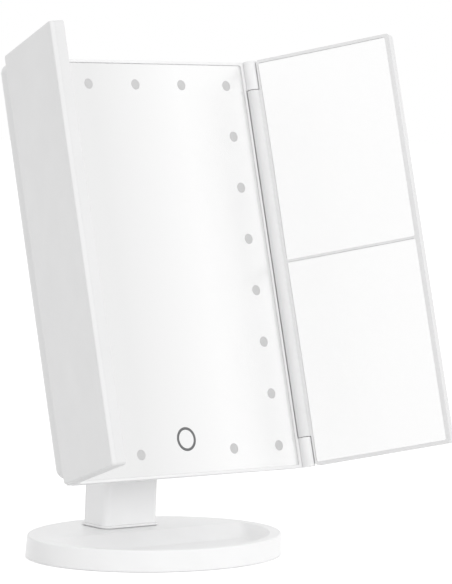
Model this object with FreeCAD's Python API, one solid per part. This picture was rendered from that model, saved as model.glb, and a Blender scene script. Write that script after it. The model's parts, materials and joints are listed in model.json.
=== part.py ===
"""Trifold vanity mirror on a weighted oval stand.

Units are millimetres.  +Z is up, +X is to the right and the front of the mirror faces -Y.
The origin is the centre of the face that the stand rests on.

The head is modelled flat and upright in a frame of its own: its origin is the centre of the
main glass, x runs to the right, y runs to the back and z runs up the panel.  Each wing is
modelled in a frame whose z axis is its hinge line: x runs from the hinge to the free edge
and y runs from the mirror side to the back.
"""
import FreeCAD, Part
import math
import os

V = FreeCAD.Vector
X_AXIS = V(1, 0, 0)
Y_AXIS = V(0, 1, 0)
Z_AXIS = V(0, 0, 1)

# ---------------------------------------------------------------- pose of the whole mirror
tilt_back = 16.3            # lean of the head from upright, degrees
right_swing = 58.7          # right wing, degrees forward of lying flat beside the main glass
left_swing = 70.3           # left wing, the same
pivot_behind_glass = 40.34  # tilt axis behind the face of the main glass
pivot_above_edge = 57.41    # tilt axis above the lower edge of the panel

# ---------------------------------------------------------------- fits
slip_gap = 0.10             # between pieces that are pushed together
move_gap = 0.35             # between pieces that pass each other
pin_running_gap = 0.04      # radial, pin in a turning bore
pin_seat_gap = 0.01         # radial, pin in the hole that holds it
edge_round = 0.4            # softened moulded edges

# ---------------------------------------------------------------- main panel
panel_height = 237.5
glass_half_width = 80.4
glass_lip = 1.75            # frame seen above and below the glass
glass_thickness = 2.0
glass_corner = 1.2
glass_sink = 0.8            # glass lies this far behind the lip
frame_floor = 1.5           # plate that the glass is stuck to
frame_lip_side = 1.8        # frame seen beside the glass
frame_step = 1.1            # rear part of the frame beyond the front part, each side
frame_front_depth = 1.6     # depth of the narrower front part, behind the glass face
frame_depth = 4.5           # parting plane to the rear cover, behind the glass face
frame_wall = 2.2
frame_corner = 2.5

# ---------------------------------------------------------------- rear cover
cover_depth = 17.5          # back of the cover, behind the glass face
cover_wall = 2.0
cover_round = 5.0
cover_corner = 6.0
cover_bottom_inset = 4.8
housing_side = 8.0          # thicker block in the middle, beyond the tilt lugs on each side
housing_depth = 27.0        # its back, behind the glass face
housing_bottom_inset = 1.95
housing_height = 76.8
housing_corner = 4.0
housing_round = 3.0
housing_wall = 2.3
screw_boss_radius = 3.2
cover_screw_inset = 33.3    # from the side of the cover
cover_screw_end = 34.75     # outer screws, from the ends of the panel
cover_screw_middle = 8.0    # middle screws, above the panel's centre

# ---------------------------------------------------------------- lights and touch button
led_columns = 5
led_rows = 8
led_side_inset = 12.6       # centres of the outer lights from the sides of the glass
led_end_inset = 12.0        # the same from its ends
led_radius = 2.95
led_chip_size = 3.0
led_chip_thickness = 1.0
board_thickness = 1.0
board_strip = 9.0
board_standoff = 1.1        # from the frame floor to the light board
board_post_radius = 2.2
touch_above_edge = 19.1     # centre of the button ring above the lower edge of the glass
touch_ring_radius = 6.6
touch_ring_stroke = 1.2
touch_ring_inlay = 0.4
touch_pad_radius = 4.5
touch_pad_thickness = 0.4
touch_spring_radius = 2.2
touch_spring_wire = 0.3
touch_spring_turns = 3

# ---------------------------------------------------------------- control board and fittings
control_half_width = 24.0
control_above_housing = 3.6  # lower edge of the control board above the housing's bottom
control_height = 27.2
control_post_spread = 20.0
control_post_rise = 15.2    # posts above the lower edge of the board
control_gap = 4.0           # from the frame floor to the control board
usb_x = 17.0
usb_width = 7.6
usb_height = 2.7
usb_length = 5.4
usb_tongue_half_width = 1.9
usb_tongue_front = 0.9
usb_tongue_thickness = 0.8
usb_wall = 0.4
switch_inset = 33.3         # from the side of the cover
switch_above_edge = 56.75   # from the lower edge of the panel
switch_body_width = 12.0
switch_body_height = 6.0
switch_body_depth = 4.4
switch_knob_width = 4.0
switch_knob_height = 3.4
switch_knob_proud = 1.2
switch_travel = 3.0
switch_stem_width = 2.4
switch_stem_height = 1.6

# ---------------------------------------------------------------- batteries
cell_radius = 5.25
cell_length = 44.5
cell_tip_radius = 1.9
cell_tip_length = 0.8
cell_count = 4
cell_gap = 0.3
spring_room = 4.5
contact_room = 1.2
contact_half_width = 4.6
contact_plate_thickness = 0.3
leaf_half_width = 2.2       # bent leaf contact of each cell
leaf_half_span = 3.6
leaf_crown_half = 1.0
leaf_thickness = 0.35
tray_wall = 1.2
tray_floor = 0.9
door_above_housing = 4.9    # lower edge of the door above the top of the housing
door_thickness = 1.8
door_margin = 2.0           # door edge beyond the cells
door_ledge = 1.6            # shoulder that the door lies on
door_round = 2.0
door_grip_width = 16.0
door_grip_height = 3.0
door_grip_depth = 0.8
door_grip_inset = 9.0       # from the door's top edge to the bottom of the grip
lead_radius = 0.6
lead_spread = 6.0
lead_overlap = 6.4          # length soldered to the control board

# ---------------------------------------------------------------- wings
hinge_offset = 3.7          # hinge line beyond the front part of the frame
hinge_forward = 2.5         # hinge line in front of the main glass
barrel_radius = 3.75
knuckle_length = 16.8
wing_gap_closed = 1.0       # between the free edges when both wings are closed
wing_lip_forward = 1.3      # lip face in front of the hinge line
wing_back_depth = 7.0       # back face behind the hinge line
wing_parting = 4.1          # parting plane behind the hinge line
wing_mirror_thickness = 2.6
wing_mirror_inner = 5.3     # inner edge of the glass from the hinge line
wing_lip_outer = 3.0
wing_lip_end = 1.9
wing_floor = 1.2
wing_wall = 1.8
wing_corner = 2.0
wing_divider = 1.6          # bar between the two mirrors of the right wing
wing_back_skin = 1.8
wing_back_round = 1.0
upper_dish = 1.2            # depth of the hollow in the stronger mirror
lower_dish = 0.8
hinge_pin_radius = 1.25
hinge_pin_in_knuckle = 13.0
hinge_pin_in_wing = 12.0

# ---------------------------------------------------------------- stand
base_half_width = 80.7      # at the bottom
base_half_depth = 58.1      # the same
base_draft = 0.7            # the wall leans in by this much at the top
base_top = 12.3
base_wall = 2.2
base_edge_round = 1.0
pad_thickness = 1.0
plate_thickness = 1.6
pad_inset = 6.0
dish_side_rim = 7.9         # deck left beside the dish for small things
dish_front_rim = 4.5        # and in front of it
dish_depth = 6.3            # flat floor of the dish below the deck
dish_wall_run = 10.0        # its sloping wall reaches this far inwards
dish_corner = 7.0           # rounding between its wall, floor and ramp
dish_edge_round = 0.7       # rounding of its upper edge
ramp_before_neck = 12.3     # the ramp down to the floor leaves the deck this far before the neck
ramp_run = 16.0             # its length from the deck to the floor
weight_thickness = 6.4
weight_inset = 3.0
weight_front_inset = 54.1   # front of the weight behind the front of the base
plate_screw_inset = 10.85   # bottom screws lie on an oval this far inside the base
plate_screw_angle = 43.26   # their place on it, degrees from the x axis
plate_gap = 0.3             # around the bottom plate
rim_lift = 0.5              # lower edge of the shell above the table
screw_lift = 0.3            # heads of the plate screws above the table
plate_boss_radius = 3.4

# ---------------------------------------------------------------- neck
neck_half_width = 19.5
neck_back_inset = 15.4      # back of the neck before the back of the base
neck_depth = 21.5
neck_wall = 2.4
neck_corner = 4.0
neck_straight_height = 39.7  # straight part above the deck
neck_bend_round = 40.0
neck_seat_depth = 0.6       # the neck's foot is sunk in the deck
flange_width = 1.2          # foot flange beyond the neck
flange_height = 1.7         # its top above the deck
flange_gap = 0.45           # shadow joint under it
neck_cover_depth = 3.4      # rear cover of the neck
neck_foot = 2.6             # closed bottom of the column
neck_post_radius = 3.4
neck_post_height = 16.0
neck_post_x = 12.5
neck_post_front = 6.1       # front posts behind the neck's front
neck_post_back = 7.4        # rear posts before its back
pivot_from_front = 4.5      # tilt axis behind the neck's front
pivot_height = 79.7         # tilt axis above the deck
neck_barrel_radius = 11.5
pivot_boss_radius = 5.5

# ---------------------------------------------------------------- tilt hinge
tilt_pin_radius = 3.0
washer_radius = 8.5
washer_thickness = 1.0
lug_thickness = 9.0
lug_radius = 11.5
lug_root_height = 17.0
cap_radius = 6.0
cap_depth = 1.6

# ---------------------------------------------------------------- screws
screw_radius = 1.3
screw_head_radius = 2.6
screw_head_height = 1.6
screw_pilot_gap = 0.02      # radial, plain shank in its pilot hole
screw_slot_width = 0.8
screw_slot_depth = 0.7

# ---------------------------------------------------------------- worked-out places
half_height = panel_height / 2
glass_half_height = half_height - glass_lip
frame_front_half_width = glass_half_width + frame_lip_side
frame_rear_half_width = frame_front_half_width + frame_step
hinge_x = frame_front_half_width + hinge_offset
led_column_pitch = 2 * (glass_half_width - led_side_inset) / (led_columns - 1)
led_row_pitch = 2 * (glass_half_height - led_end_inset) / (led_rows - 1)
touch_height = -glass_half_height + touch_above_edge
floor_back = glass_thickness + frame_floor
cover_bottom = -half_height + cover_bottom_inset
housing_bottom = -half_height + housing_bottom_inset
housing_top = housing_bottom + housing_height
cover_screw_x = frame_rear_half_width - cover_screw_inset
cover_screw_top = half_height - cover_screw_end
cover_screw_rows = (-cover_screw_top, cover_screw_middle, cover_screw_top)
control_bottom = housing_bottom + control_above_housing
control_top = control_bottom + control_height
control_post_height = control_bottom + control_post_rise
switch_x = -frame_rear_half_width + switch_inset
switch_z = -half_height + switch_above_edge
knuckle_foot = half_height - knuckle_length
wing_reach = hinge_x - wing_gap_closed / 2
wing_root = barrel_radius + move_gap
wing_barrel_end = knuckle_foot - move_gap
wing_glass_front = -wing_lip_forward + glass_sink
wing_glass_back = wing_glass_front + wing_mirror_thickness
wing_glass_outer = wing_reach - wing_lip_outer
wing_glass_top = half_height - wing_lip_end
board_front = floor_back + board_standoff
deck_under = base_top - base_wall
plate_top = pad_thickness + plate_thickness
plate_screw_x = (base_half_width - plate_screw_inset) * math.cos(math.radians(plate_screw_angle))
plate_screw_y = (base_half_depth - plate_screw_inset) * math.sin(math.radians(plate_screw_angle))
neck_back = base_half_depth - neck_back_inset
neck_front = neck_back - neck_depth
neck_split = neck_back - neck_cover_depth
neck_seat = base_top - neck_seat_depth
neck_straight_top = base_top + neck_straight_height
neck_post_rows = (neck_front + neck_post_front, neck_back - neck_post_back)
ramp_start = neck_front - ramp_before_neck
dish_half_width = base_half_width - base_draft - dish_side_rim
dish_half_depth = base_half_depth - base_draft - dish_front_rim
dish_floor = base_top - dish_depth
weight_front = -base_half_depth + weight_front_inset
pivot_y = neck_front + pivot_from_front
pivot_z = base_top + pivot_height
lug_inner = neck_half_width + washer_thickness
lug_outer = lug_inner + lug_thickness
housing_half_width = lug_outer + housing_side
bay_half_width = cell_count * cell_radius + (cell_count - 1) * cell_gap / 2
bay_half_length = (cell_length + spring_room + contact_room) / 2
door_half_width = bay_half_width + door_margin
door_half_height = bay_half_length + door_margin
bay_centre_z = housing_top + door_above_housing + door_half_height

pivot_in_head = V(0, pivot_behind_glass, -half_height + pivot_above_edge)
head_turn = FreeCAD.Rotation(X_AXIS, -tilt_back)
head_place = FreeCAD.Placement(
    V(0, pivot_y, pivot_z) - head_turn.multVec(pivot_in_head), head_turn
)
right_place = head_place.multiply(
    FreeCAD.Placement(V(hinge_x, -hinge_forward, 0), FreeCAD.Rotation(Z_AXIS, -right_swing))
)
left_place = head_place.multiply(
    FreeCAD.Placement(V(-hinge_x, -hinge_forward, 0), FreeCAD.Rotation(Z_AXIS, left_swing))
)


# ---------------------------------------------------------------- shape helpers
def box(x0, x1, y0, y1, z0, z1):
    """Block between two opposite corners."""
    return Part.makeBox(x1 - x0, y1 - y0, z1 - z0, V(x0, y0, z0))


def rod(radius, start, direction, length):
    """Round bar from a start point along a direction."""
    return Part.makeCylinder(radius, length, start, direction)


def fuse(shapes):
    """One clean solid from several that meet."""
    joined = shapes[0].fuse(shapes[1:]) if len(shapes) > 1 else shapes[0]
    return joined.removeSplitter()


def edges_where(shape, test):
    """Edges whose sampled points all pass a test."""
    chosen = []
    for edge in shape.Edges:
        points = edge.discretize(5)
        if all(test(point) for point in points):
            chosen.append(edge)
    return chosen


def rounded_slab(x0, x1, y0, y1, z0, z1, corner):
    """Plate in the x-z plane, from y0 to y1, with its four upright corners rounded."""
    slab = box(x0, x1, y0, y1, z0, z1)

    def at_corner(point):
        on_side = min(abs(point.x - x0), abs(point.x - x1)) < 1e-6
        on_end = min(abs(point.z - z0), abs(point.z - z1)) < 1e-6
        return on_side and on_end

    return slab.makeFillet(corner, edges_where(slab, at_corner))


def round_face_edges(shape, y, radius):
    """Round every edge that lies in the plane of constant y."""
    return shape.makeFillet(radius, edges_where(shape, lambda point: abs(point.y - y) < 1e-6))


def ellipse_wire(half_width, half_depth, z):
    """Closed ellipse in the x-y plane."""
    curve = Part.Ellipse(V(0, 0, z), half_width, half_depth)
    return Part.Wire([curve.toShape()])


def ellipse_drum(low, high, z0, z1):
    """Solid between two ellipses, each given as (half width, half depth)."""
    wires = [ellipse_wire(low[0], low[1], z0), ellipse_wire(high[0], high[1], z1)]
    return Part.makeLoft(wires, True, True)


def coil(radius, wire_radius, length, turns):
    """Helical spring along +z, standing on z = 0."""
    rise = length - 2 * wire_radius
    spine = Part.makeHelix(rise / turns, rise, radius)
    ring = Part.Wire([Part.Circle(V(radius, 0, 0), Y_AXIS, wire_radius).toShape()])
    spring = Part.Wire(spine.Edges).makePipeShell([ring], True, True)
    spring.translate(V(0, 0, wire_radius))
    return spring


def screw(place, length):
    """Self-tapping screw: its head's face at the place, its tip along the place's +z."""
    head = Part.makeCylinder(screw_head_radius, screw_head_height)
    shank = Part.makeCylinder(screw_radius, length, V(0, 0, screw_head_height))
    half_slot = screw_slot_width / 2
    reach = screw_head_radius - edge_round
    slot_a = box(-reach, reach, -half_slot, half_slot, 0, screw_slot_depth)
    slot_b = box(-half_slot, half_slot, -reach, reach, 0, screw_slot_depth)
    body = fuse([head, shank]).cut([slot_a, slot_b])
    body.Placement = place
    return body


def spread(shape, points):
    """Copies of one shape moved to each point."""
    copies = []
    for point in points:
        copy = shape.copy()
        copy.translate(point)
        copies.append(copy)
    return copies


def centred(count, pitch):
    """Evenly spaced places about zero."""
    return [(index - (count - 1) / 2) * pitch for index in range(count)]


# ---------------------------------------------------------------- places of the lights
def led_places():
    """Centres of the lights: a border of the grid without the bottom middle one."""
    columns = centred(led_columns, led_column_pitch)
    rows = centred(led_rows, led_row_pitch)
    places = []
    for row, z in enumerate(rows):
        for column, x in enumerate(columns):
            on_side = column in (0, led_columns - 1)
            on_end = row in (0, led_rows - 1)
            is_button = row == 0 and column == led_columns // 2
            if (on_side or on_end) and not is_button:
                places.append(V(x, 0, z))
    return places


# ---------------------------------------------------------------- main panel
def knuckle(side, end):
    """Fixed barrel at one end of one hinge, joined to the frame by a web."""
    low = min(end * knuckle_foot, end * half_height)
    barrel = rod(barrel_radius, V(side * hinge_x, -hinge_forward, low), Z_AXIS, knuckle_length)
    inner = side * (frame_front_half_width - frame_wall)
    web = box(
        min(inner, side * hinge_x), max(inner, side * hinge_x),
        -glass_sink, frame_front_depth, low, low + knuckle_length,
    )
    return fuse([barrel, web])


def main_frame():
    """Front moulding: lip around the glass, floor behind it, knuckles at the corners."""
    front = rounded_slab(
        -frame_front_half_width, frame_front_half_width, -glass_sink, frame_front_depth,
        -half_height, half_height, frame_corner,
    )
    rear = rounded_slab(
        -frame_rear_half_width, frame_rear_half_width, frame_front_depth, frame_depth,
        -half_height, half_height, frame_corner,
    )
    body = fuse([front, rear])
    body = round_face_edges(body, -glass_sink, edge_round)
    knuckles = [knuckle(side, end) for side in (-1, 1) for end in (-1, 1)]
    body = fuse([body] + knuckles)
    pocket = rounded_slab(
        -glass_half_width - slip_gap, glass_half_width + slip_gap, -glass_sink, glass_thickness,
        -glass_half_height - slip_gap, glass_half_height + slip_gap, glass_corner,
    )
    hollow = rounded_slab(
        -frame_rear_half_width + frame_wall, frame_rear_half_width - frame_wall,
        floor_back, frame_depth,
        cover_bottom + frame_wall, half_height - frame_wall, glass_corner,
    )
    body = body.cut([pocket, hollow])
    holes = [
        rod(led_radius + slip_gap / 2, place, Y_AXIS, floor_back) for place in led_places()
    ]
    holes.append(rod(touch_pad_radius + slip_gap, V(0, 0, touch_height), Y_AXIS, floor_back))
    for side in (-1, 1):
        for end in (-1, 1):
            tip = end * (knuckle_foot + hinge_pin_in_knuckle)
            low = min(end * knuckle_foot, tip)
            holes.append(
                rod(hinge_pin_radius + pin_seat_gap, V(side * hinge_x, -hinge_forward, low),
                    Z_AXIS, hinge_pin_in_knuckle)
            )
    body = body.cut(holes)
    posts = []
    post_x = (led_columns - 2) / 2 * led_column_pitch
    post_z = (led_rows - 1) / 2 * led_row_pitch
    for x in (-post_x, post_x):
        for z in (-post_z, post_z):
            start = V(x, floor_back - frame_floor / 2, z)
            posts.append(rod(board_post_radius, start, Y_AXIS, board_standoff + frame_floor / 2))
    for x, z in cover_screw_places():
        boss = rod(screw_boss_radius, V(x, floor_back - frame_floor / 2, z), Y_AXIS,
                   frame_depth - floor_back + frame_floor / 2 + screw_boss_radius)
        pilot_start = V(x, glass_thickness + frame_floor / 2, z)
        pilot = rod(screw_radius + screw_pilot_gap, pilot_start, Y_AXIS, cover_depth)
        posts.append(boss.cut(pilot))
    for x in (-control_post_spread, control_post_spread):
        start = V(x, floor_back - frame_floor / 2, control_post_height)
        posts.append(rod(board_post_radius, start, Y_AXIS, control_gap + frame_floor / 2))
    return fuse([body] + posts)


def cover_screw_places():
    """Where the rear cover is screwed to the main frame."""
    return [(side * cover_screw_x, z) for z in cover_screw_rows for side in (-1, 1)]


def main_mirror():
    """Flat glass with a round window for each light and an inlay groove for the button ring."""
    glass = rounded_slab(
        -glass_half_width, glass_half_width, 0, glass_thickness,
        -glass_half_height, glass_half_height, glass_corner,
    )
    windows = [
        rod(led_radius + slip_gap / 2, place, Y_AXIS, glass_thickness) for place in led_places()
    ]
    return glass.cut(windows + [touch_ring(slip_gap / 2)])


def touch_ring(clearance=0.0):
    """Ring inlay around the touch button, flush with the glass."""
    centre = V(0, 0, touch_height)
    outer = rod(touch_ring_radius + clearance, centre, Y_AXIS, touch_ring_inlay)
    inner = rod(touch_ring_radius - touch_ring_stroke - clearance, centre, Y_AXIS, touch_ring_inlay)
    return outer.cut(inner)


def touch_pad():
    """Copper sensing disc stuck behind the glass, and the spring that feeds it."""
    disc = rod(touch_pad_radius, V(0, glass_thickness, touch_height), Y_AXIS, touch_pad_thickness)
    length = floor_back + control_gap - glass_thickness - touch_pad_thickness
    spring = coil(touch_spring_radius, touch_spring_wire, length, touch_spring_turns)
    spring.rotate(V(0, 0, 0), X_AXIS, -90)
    spring.translate(V(0, glass_thickness + touch_pad_thickness, touch_height))
    return disc, spring


def led_lenses():
    """Frosted plugs that carry the light through the floor and the glass."""
    return [rod(led_radius, place, Y_AXIS, floor_back) for place in led_places()]


def led_chips():
    """One light chip behind each plug, on the front of the light board."""
    half = led_chip_size / 2
    y0 = board_front - led_chip_thickness
    chip = box(-half, half, y0, board_front, -half, half)
    return spread(chip, led_places())


def led_board():
    """Rectangular ring of circuit board behind the border of lights."""
    reach_x = led_column_pitch * (led_columns - 1) / 2
    reach_z = led_row_pitch * (led_rows - 1) / 2
    half = board_strip / 2
    outer = box(-reach_x - half, reach_x + half, board_front, board_front + board_thickness,
                -reach_z - half, reach_z + half)
    inner = box(-reach_x + half, reach_x - half, board_front, board_front + board_thickness,
                -reach_z + half, reach_z - half)
    return outer.cut(inner)


def control_board():
    """Circuit board behind the touch button."""
    y0 = floor_back + control_gap
    return box(-control_half_width, control_half_width, y0, y0 + board_thickness,
               control_bottom, control_top)


def usb_socket():
    """Charging socket on the control board, its mouth in the bottom wall of the housing."""
    y0 = floor_back + control_gap + board_thickness
    shell = rounded_slab(
        usb_x - usb_width / 2, usb_x + usb_width / 2, y0, y0 + usb_height,
        housing_bottom, housing_bottom + usb_length, edge_round,
    )
    wall = usb_wall
    mouth = box(
        usb_x - usb_width / 2 + wall, usb_x + usb_width / 2 - wall,
        y0 + wall, y0 + usb_height - wall, housing_bottom, housing_bottom + usb_length - wall,
    )
    tongue = box(
        usb_x - usb_tongue_half_width, usb_x + usb_tongue_half_width,
        y0 + usb_tongue_front, y0 + usb_tongue_front + usb_tongue_thickness,
        housing_bottom + wall, housing_bottom + usb_length,
    )
    return fuse([shell.cut(mouth), tongue])


# ---------------------------------------------------------------- rear cover and what it holds
def cover_block(inset, depth, corner, roundness):
    """Outer or inner form of the rear cover, open at the parting plane."""
    slab = rounded_slab(
        -frame_rear_half_width + inset, frame_rear_half_width - inset, frame_depth, depth,
        cover_bottom + inset, half_height - inset, corner,
    )
    return round_face_edges(slab, depth, roundness)


def housing_block(inset):
    """Outer or inner form of the hinge housing, open at the parting plane."""
    slab = rounded_slab(
        -housing_half_width + inset, housing_half_width - inset, frame_depth,
        housing_depth - inset, housing_bottom + inset, housing_top - inset,
        housing_corner - inset,
    )
    return round_face_edges(slab, housing_depth - inset, housing_round - inset)


def tilt_lug(side):
    """Ear on the back of the hinge housing that holds the tilt pin."""
    x0 = lug_inner if side > 0 else -lug_outer
    root_y = housing_depth - housing_wall / 2
    low = V(x0, root_y, pivot_in_head.z - lug_root_height)
    high = V(x0, root_y, pivot_in_head.z + lug_root_height)
    centre = V(x0, pivot_in_head.y, pivot_in_head.z)
    span = pivot_in_head.y - root_y
    away = math.hypot(span, lug_root_height)
    lean = math.atan2(lug_root_height, span)
    touch = lean + math.acos(lug_radius / away)
    offset_y = -lug_radius * math.cos(touch)
    offset_z = lug_radius * math.sin(touch)
    upper = V(x0, centre.y + offset_y, centre.z + offset_z)
    lower = V(x0, centre.y + offset_y, centre.z - offset_z)
    tip = V(x0, centre.y + lug_radius, centre.z)
    outline = Part.Wire([
        Part.LineSegment(low, high).toShape(),
        Part.LineSegment(high, upper).toShape(),
        Part.Arc(upper, tip, lower).toShape(),
        Part.LineSegment(lower, low).toShape(),
    ])
    return Part.Face(outline).extrude(V(lug_thickness, 0, 0))


def rear_cover():
    """Back shell with the battery bay opening, the tilt lugs and its screw wells."""
    outer = cover_block(0, cover_depth, cover_corner, cover_round)
    inner = cover_block(cover_wall, cover_depth - cover_wall, cover_corner - cover_wall,
                        cover_round - cover_wall)
    shell = fuse([outer, housing_block(0)]).cut([inner, housing_block(housing_wall)])
    rim = door_slab(door_ledge, cover_depth - door_thickness - door_ledge, cover_depth - cover_wall)
    wells = [rim]
    for x, z in cover_screw_places():
        boss_end = frame_depth + screw_boss_radius
        wells.append(rod(screw_boss_radius + cover_wall / 2, V(x, boss_end, z), Y_AXIS,
                         cover_depth - cover_wall / 2 - boss_end))
    body = fuse([shell, tilt_lug(-1), tilt_lug(1)] + wells)
    cuts = []
    for x, z in cover_screw_places():
        seat = frame_depth + screw_boss_radius + cover_wall
        cuts.append(rod(screw_head_radius + slip_gap, V(x, seat, z), Y_AXIS, cover_depth))
        cuts.append(rod(screw_radius + slip_gap, V(x, frame_depth, z), Y_AXIS, cover_depth))
    cuts.append(door_opening())
    cuts.append(usb_opening())
    cuts.append(switch_slot())
    pin_start = V(-lug_outer, pivot_in_head.y, pivot_in_head.z)
    cuts.append(rod(tilt_pin_radius + slip_gap / 2, pin_start, X_AXIS, 2 * lug_outer))
    for side in (-1, 1):
        face = V(side * lug_outer, pivot_in_head.y, pivot_in_head.z)
        cuts.append(rod(cap_radius + slip_gap, face, X_AXIS * -side, cap_depth))
    return body.cut(cuts).removeSplitter()


def usb_opening():
    """Hole in the bottom wall for the charging socket."""
    y0 = floor_back + control_gap + board_thickness
    return box(
        usb_x - usb_width / 2 - slip_gap, usb_x + usb_width / 2 + slip_gap,
        y0 - slip_gap, y0 + usb_height + slip_gap, housing_bottom, housing_bottom + usb_length,
    )


def switch_slot():
    """Slot in the back that the switch knob slides in."""
    half = switch_knob_width / 2
    return box(
        switch_x - half - move_gap, switch_x + half + switch_travel + move_gap,
        cover_depth - cover_wall, cover_depth,
        switch_z - switch_knob_height / 2 - move_gap, switch_z + switch_knob_height / 2 + move_gap,
    )


def switch_body():
    """Slide switch fixed inside the back of the cover, slotted for its stem."""
    back = cover_depth - cover_wall
    middle = switch_x + switch_travel / 2
    body = box(
        middle - switch_body_width / 2, middle + switch_body_width / 2,
        back - switch_body_depth, back,
        switch_z - switch_body_height / 2, switch_z + switch_body_height / 2,
    )
    slot = box(
        switch_x - switch_stem_width / 2 - move_gap,
        switch_x + switch_stem_width / 2 + switch_travel + move_gap,
        back - switch_body_depth / 2 - move_gap, back,
        switch_z - switch_stem_height / 2 - move_gap, switch_z + switch_stem_height / 2 + move_gap,
    )
    return body.cut(slot)


def power_slider():
    """Ribbed knob of the slide switch, at its off end."""
    back = cover_depth - cover_wall
    knob = box(
        switch_x - switch_knob_width / 2, switch_x + switch_knob_width / 2,
        back + slip_gap, cover_depth + switch_knob_proud,
        switch_z - switch_knob_height / 2, switch_z + switch_knob_height / 2,
    )
    stem = box(
        switch_x - switch_stem_width / 2, switch_x + switch_stem_width / 2,
        back - switch_body_depth / 2, back + slip_gap,
        switch_z - switch_stem_height / 2, switch_z + switch_stem_height / 2,
    )
    body = fuse([knob, stem])
    groove = box(
        -edge_round / 2, edge_round / 2, cover_depth + switch_knob_proud - edge_round,
        cover_depth + switch_knob_proud,
        switch_z - switch_knob_height / 2, switch_z + switch_knob_height / 2,
    )
    places = [V(switch_x + step, 0, 0) for step in centred(3, switch_knob_width / 4)]
    return body.cut(spread(groove, places))


# ---------------------------------------------------------------- battery bay
def door_slab(margin, y0, y1):
    """Rounded plate the size of the battery door plus a margin."""
    return rounded_slab(
        -door_half_width - margin, door_half_width + margin, y0, y1,
        bay_centre_z - door_half_height - margin, bay_centre_z + door_half_height + margin,
        door_round,
    )


def door_opening():
    """Recess for the door and the smaller hole inside it."""
    recess = door_slab(move_gap, cover_depth - door_thickness, cover_depth)
    hole = door_slab(-door_ledge, frame_depth, cover_depth)
    return fuse([recess, hole])


def battery_door():
    """Snap-in door that lifts straight off, with a hollow for a fingertip."""
    plate = door_slab(0, cover_depth - door_thickness + slip_gap, cover_depth)
    plate = round_face_edges(plate, cover_depth, edge_round)
    top = bay_centre_z + door_half_height
    grip = box(
        -door_grip_width / 2, door_grip_width / 2, cover_depth - door_grip_depth, cover_depth,
        top - door_grip_inset, top - door_grip_inset + door_grip_height,
    )
    return plate.cut(grip)


def battery_tray():
    """Open box in the bay that holds the cells, standing on the frame floor."""
    back = cover_depth - door_thickness - door_ledge - move_gap
    outer_x = bay_half_width + cell_gap + tray_wall
    outer_z = bay_half_length + tray_wall
    block = box(-outer_x, outer_x, floor_back, back,
                bay_centre_z - outer_z, bay_centre_z + outer_z)
    room = box(-bay_half_width - cell_gap, bay_half_width + cell_gap,
               floor_back + tray_floor, back,
               bay_centre_z - bay_half_length, bay_centre_z + bay_half_length)
    return block.cut(room)


def cell_places():
    """Centres of the cells, with the way that each one points."""
    y = floor_back + tray_floor + cell_radius
    columns = centred(cell_count, 2 * cell_radius + cell_gap)
    return [(V(x, y, bay_centre_z), 1 if index % 2 else -1) for index, x in enumerate(columns)]


def battery_cells():
    """Four cells, alternately end for end."""
    cells = []
    for place, way in cell_places():
        low = bay_centre_z - bay_half_length
        body_low = low + (spring_room if way > 0 else contact_room)
        body_length = cell_length - cell_tip_length
        if way > 0:
            start = V(place.x, place.y, body_low)
            tip_start = V(place.x, place.y, body_low + body_length)
        else:
            start = V(place.x, place.y, body_low + cell_tip_length)
            tip_start = V(place.x, place.y, body_low)
        can = rod(cell_radius, start, Z_AXIS, body_length)
        tip = rod(cell_tip_radius, tip_start, Z_AXIS, cell_tip_length)
        cells.append(fuse([can, tip]))
    return cells


def leaf_contact(length):
    """Bent leaf on z = 0, its crown at z = length."""
    slant = (leaf_half_span - leaf_crown_half) / length
    leg = leaf_thickness * math.hypot(1, slant)
    under = length - leaf_thickness
    inner_foot = leaf_half_span - leg
    inner_crown = inner_foot - slant * under
    outline_points = [
        (leaf_half_span, 0), (leaf_crown_half, length), (-leaf_crown_half, length),
        (-leaf_half_span, 0), (-inner_foot, 0), (-inner_crown, under), (inner_crown, under),
        (inner_foot, 0), (leaf_half_span, 0),
    ]
    outline = Part.makePolygon([V(-leaf_half_width, y, z) for y, z in outline_points])
    return Part.Face(outline).extrude(V(2 * leaf_half_width, 0, 0))


def battery_springs():
    """Leaf contact at the flat end of each cell."""
    springs = []
    for place, way in cell_places():
        spring = leaf_contact(spring_room - contact_plate_thickness)
        seat = bay_half_length - contact_plate_thickness
        if way < 0:
            spring.rotate(V(0, 0, 0), X_AXIS, 180)
        spring.translate(V(place.x, place.y, bay_centre_z - way * seat))
        springs.append(spring)
    return springs


def battery_contacts():
    """Plates behind the springs and the cell tips, joined in pairs."""
    plates = []
    half = contact_half_width
    for place, way in cell_places():
        for end in (-1, 1):
            spring_end = end == -way
            thickness = contact_plate_thickness if spring_end else contact_room
            edge = bay_centre_z + end * bay_half_length
            low = edge if end < 0 else edge - thickness
            plates.append(box(place.x - half, place.x + half, place.y - half, place.y + half,
                              low, low + thickness))
    return plates


def battery_leads():
    """Two insulated leads from the bay down to the control board."""
    leads = []
    y = floor_back + control_gap + board_thickness + lead_radius
    top = bay_centre_z - bay_half_length - tray_wall
    for side in (-1, 1):
        start = V(side * lead_spread, y, control_top - lead_overlap)
        leads.append(rod(lead_radius, start, Z_AXIS, top - start.z))
    return leads


def rear_cover_screws():
    """Six screws that hold the cover to the frame."""
    screws = []
    for x, z in cover_screw_places():
        seat = frame_depth + screw_boss_radius + cover_wall + screw_head_height
        length = seat - screw_head_height - glass_thickness - frame_floor
        place = FreeCAD.Placement(V(x, seat, z), FreeCAD.Rotation(X_AXIS, 90))
        screws.append(screw(place, length))
    return screws


# ---------------------------------------------------------------- wings
def wing_outline(y0, y1, inset=0.0):
    """Plate of the wing from its root to its free edge."""
    return rounded_slab(
        wing_root + inset, wing_reach - inset, y0, y1,
        -half_height + inset, half_height - inset, wing_corner,
    )


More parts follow.
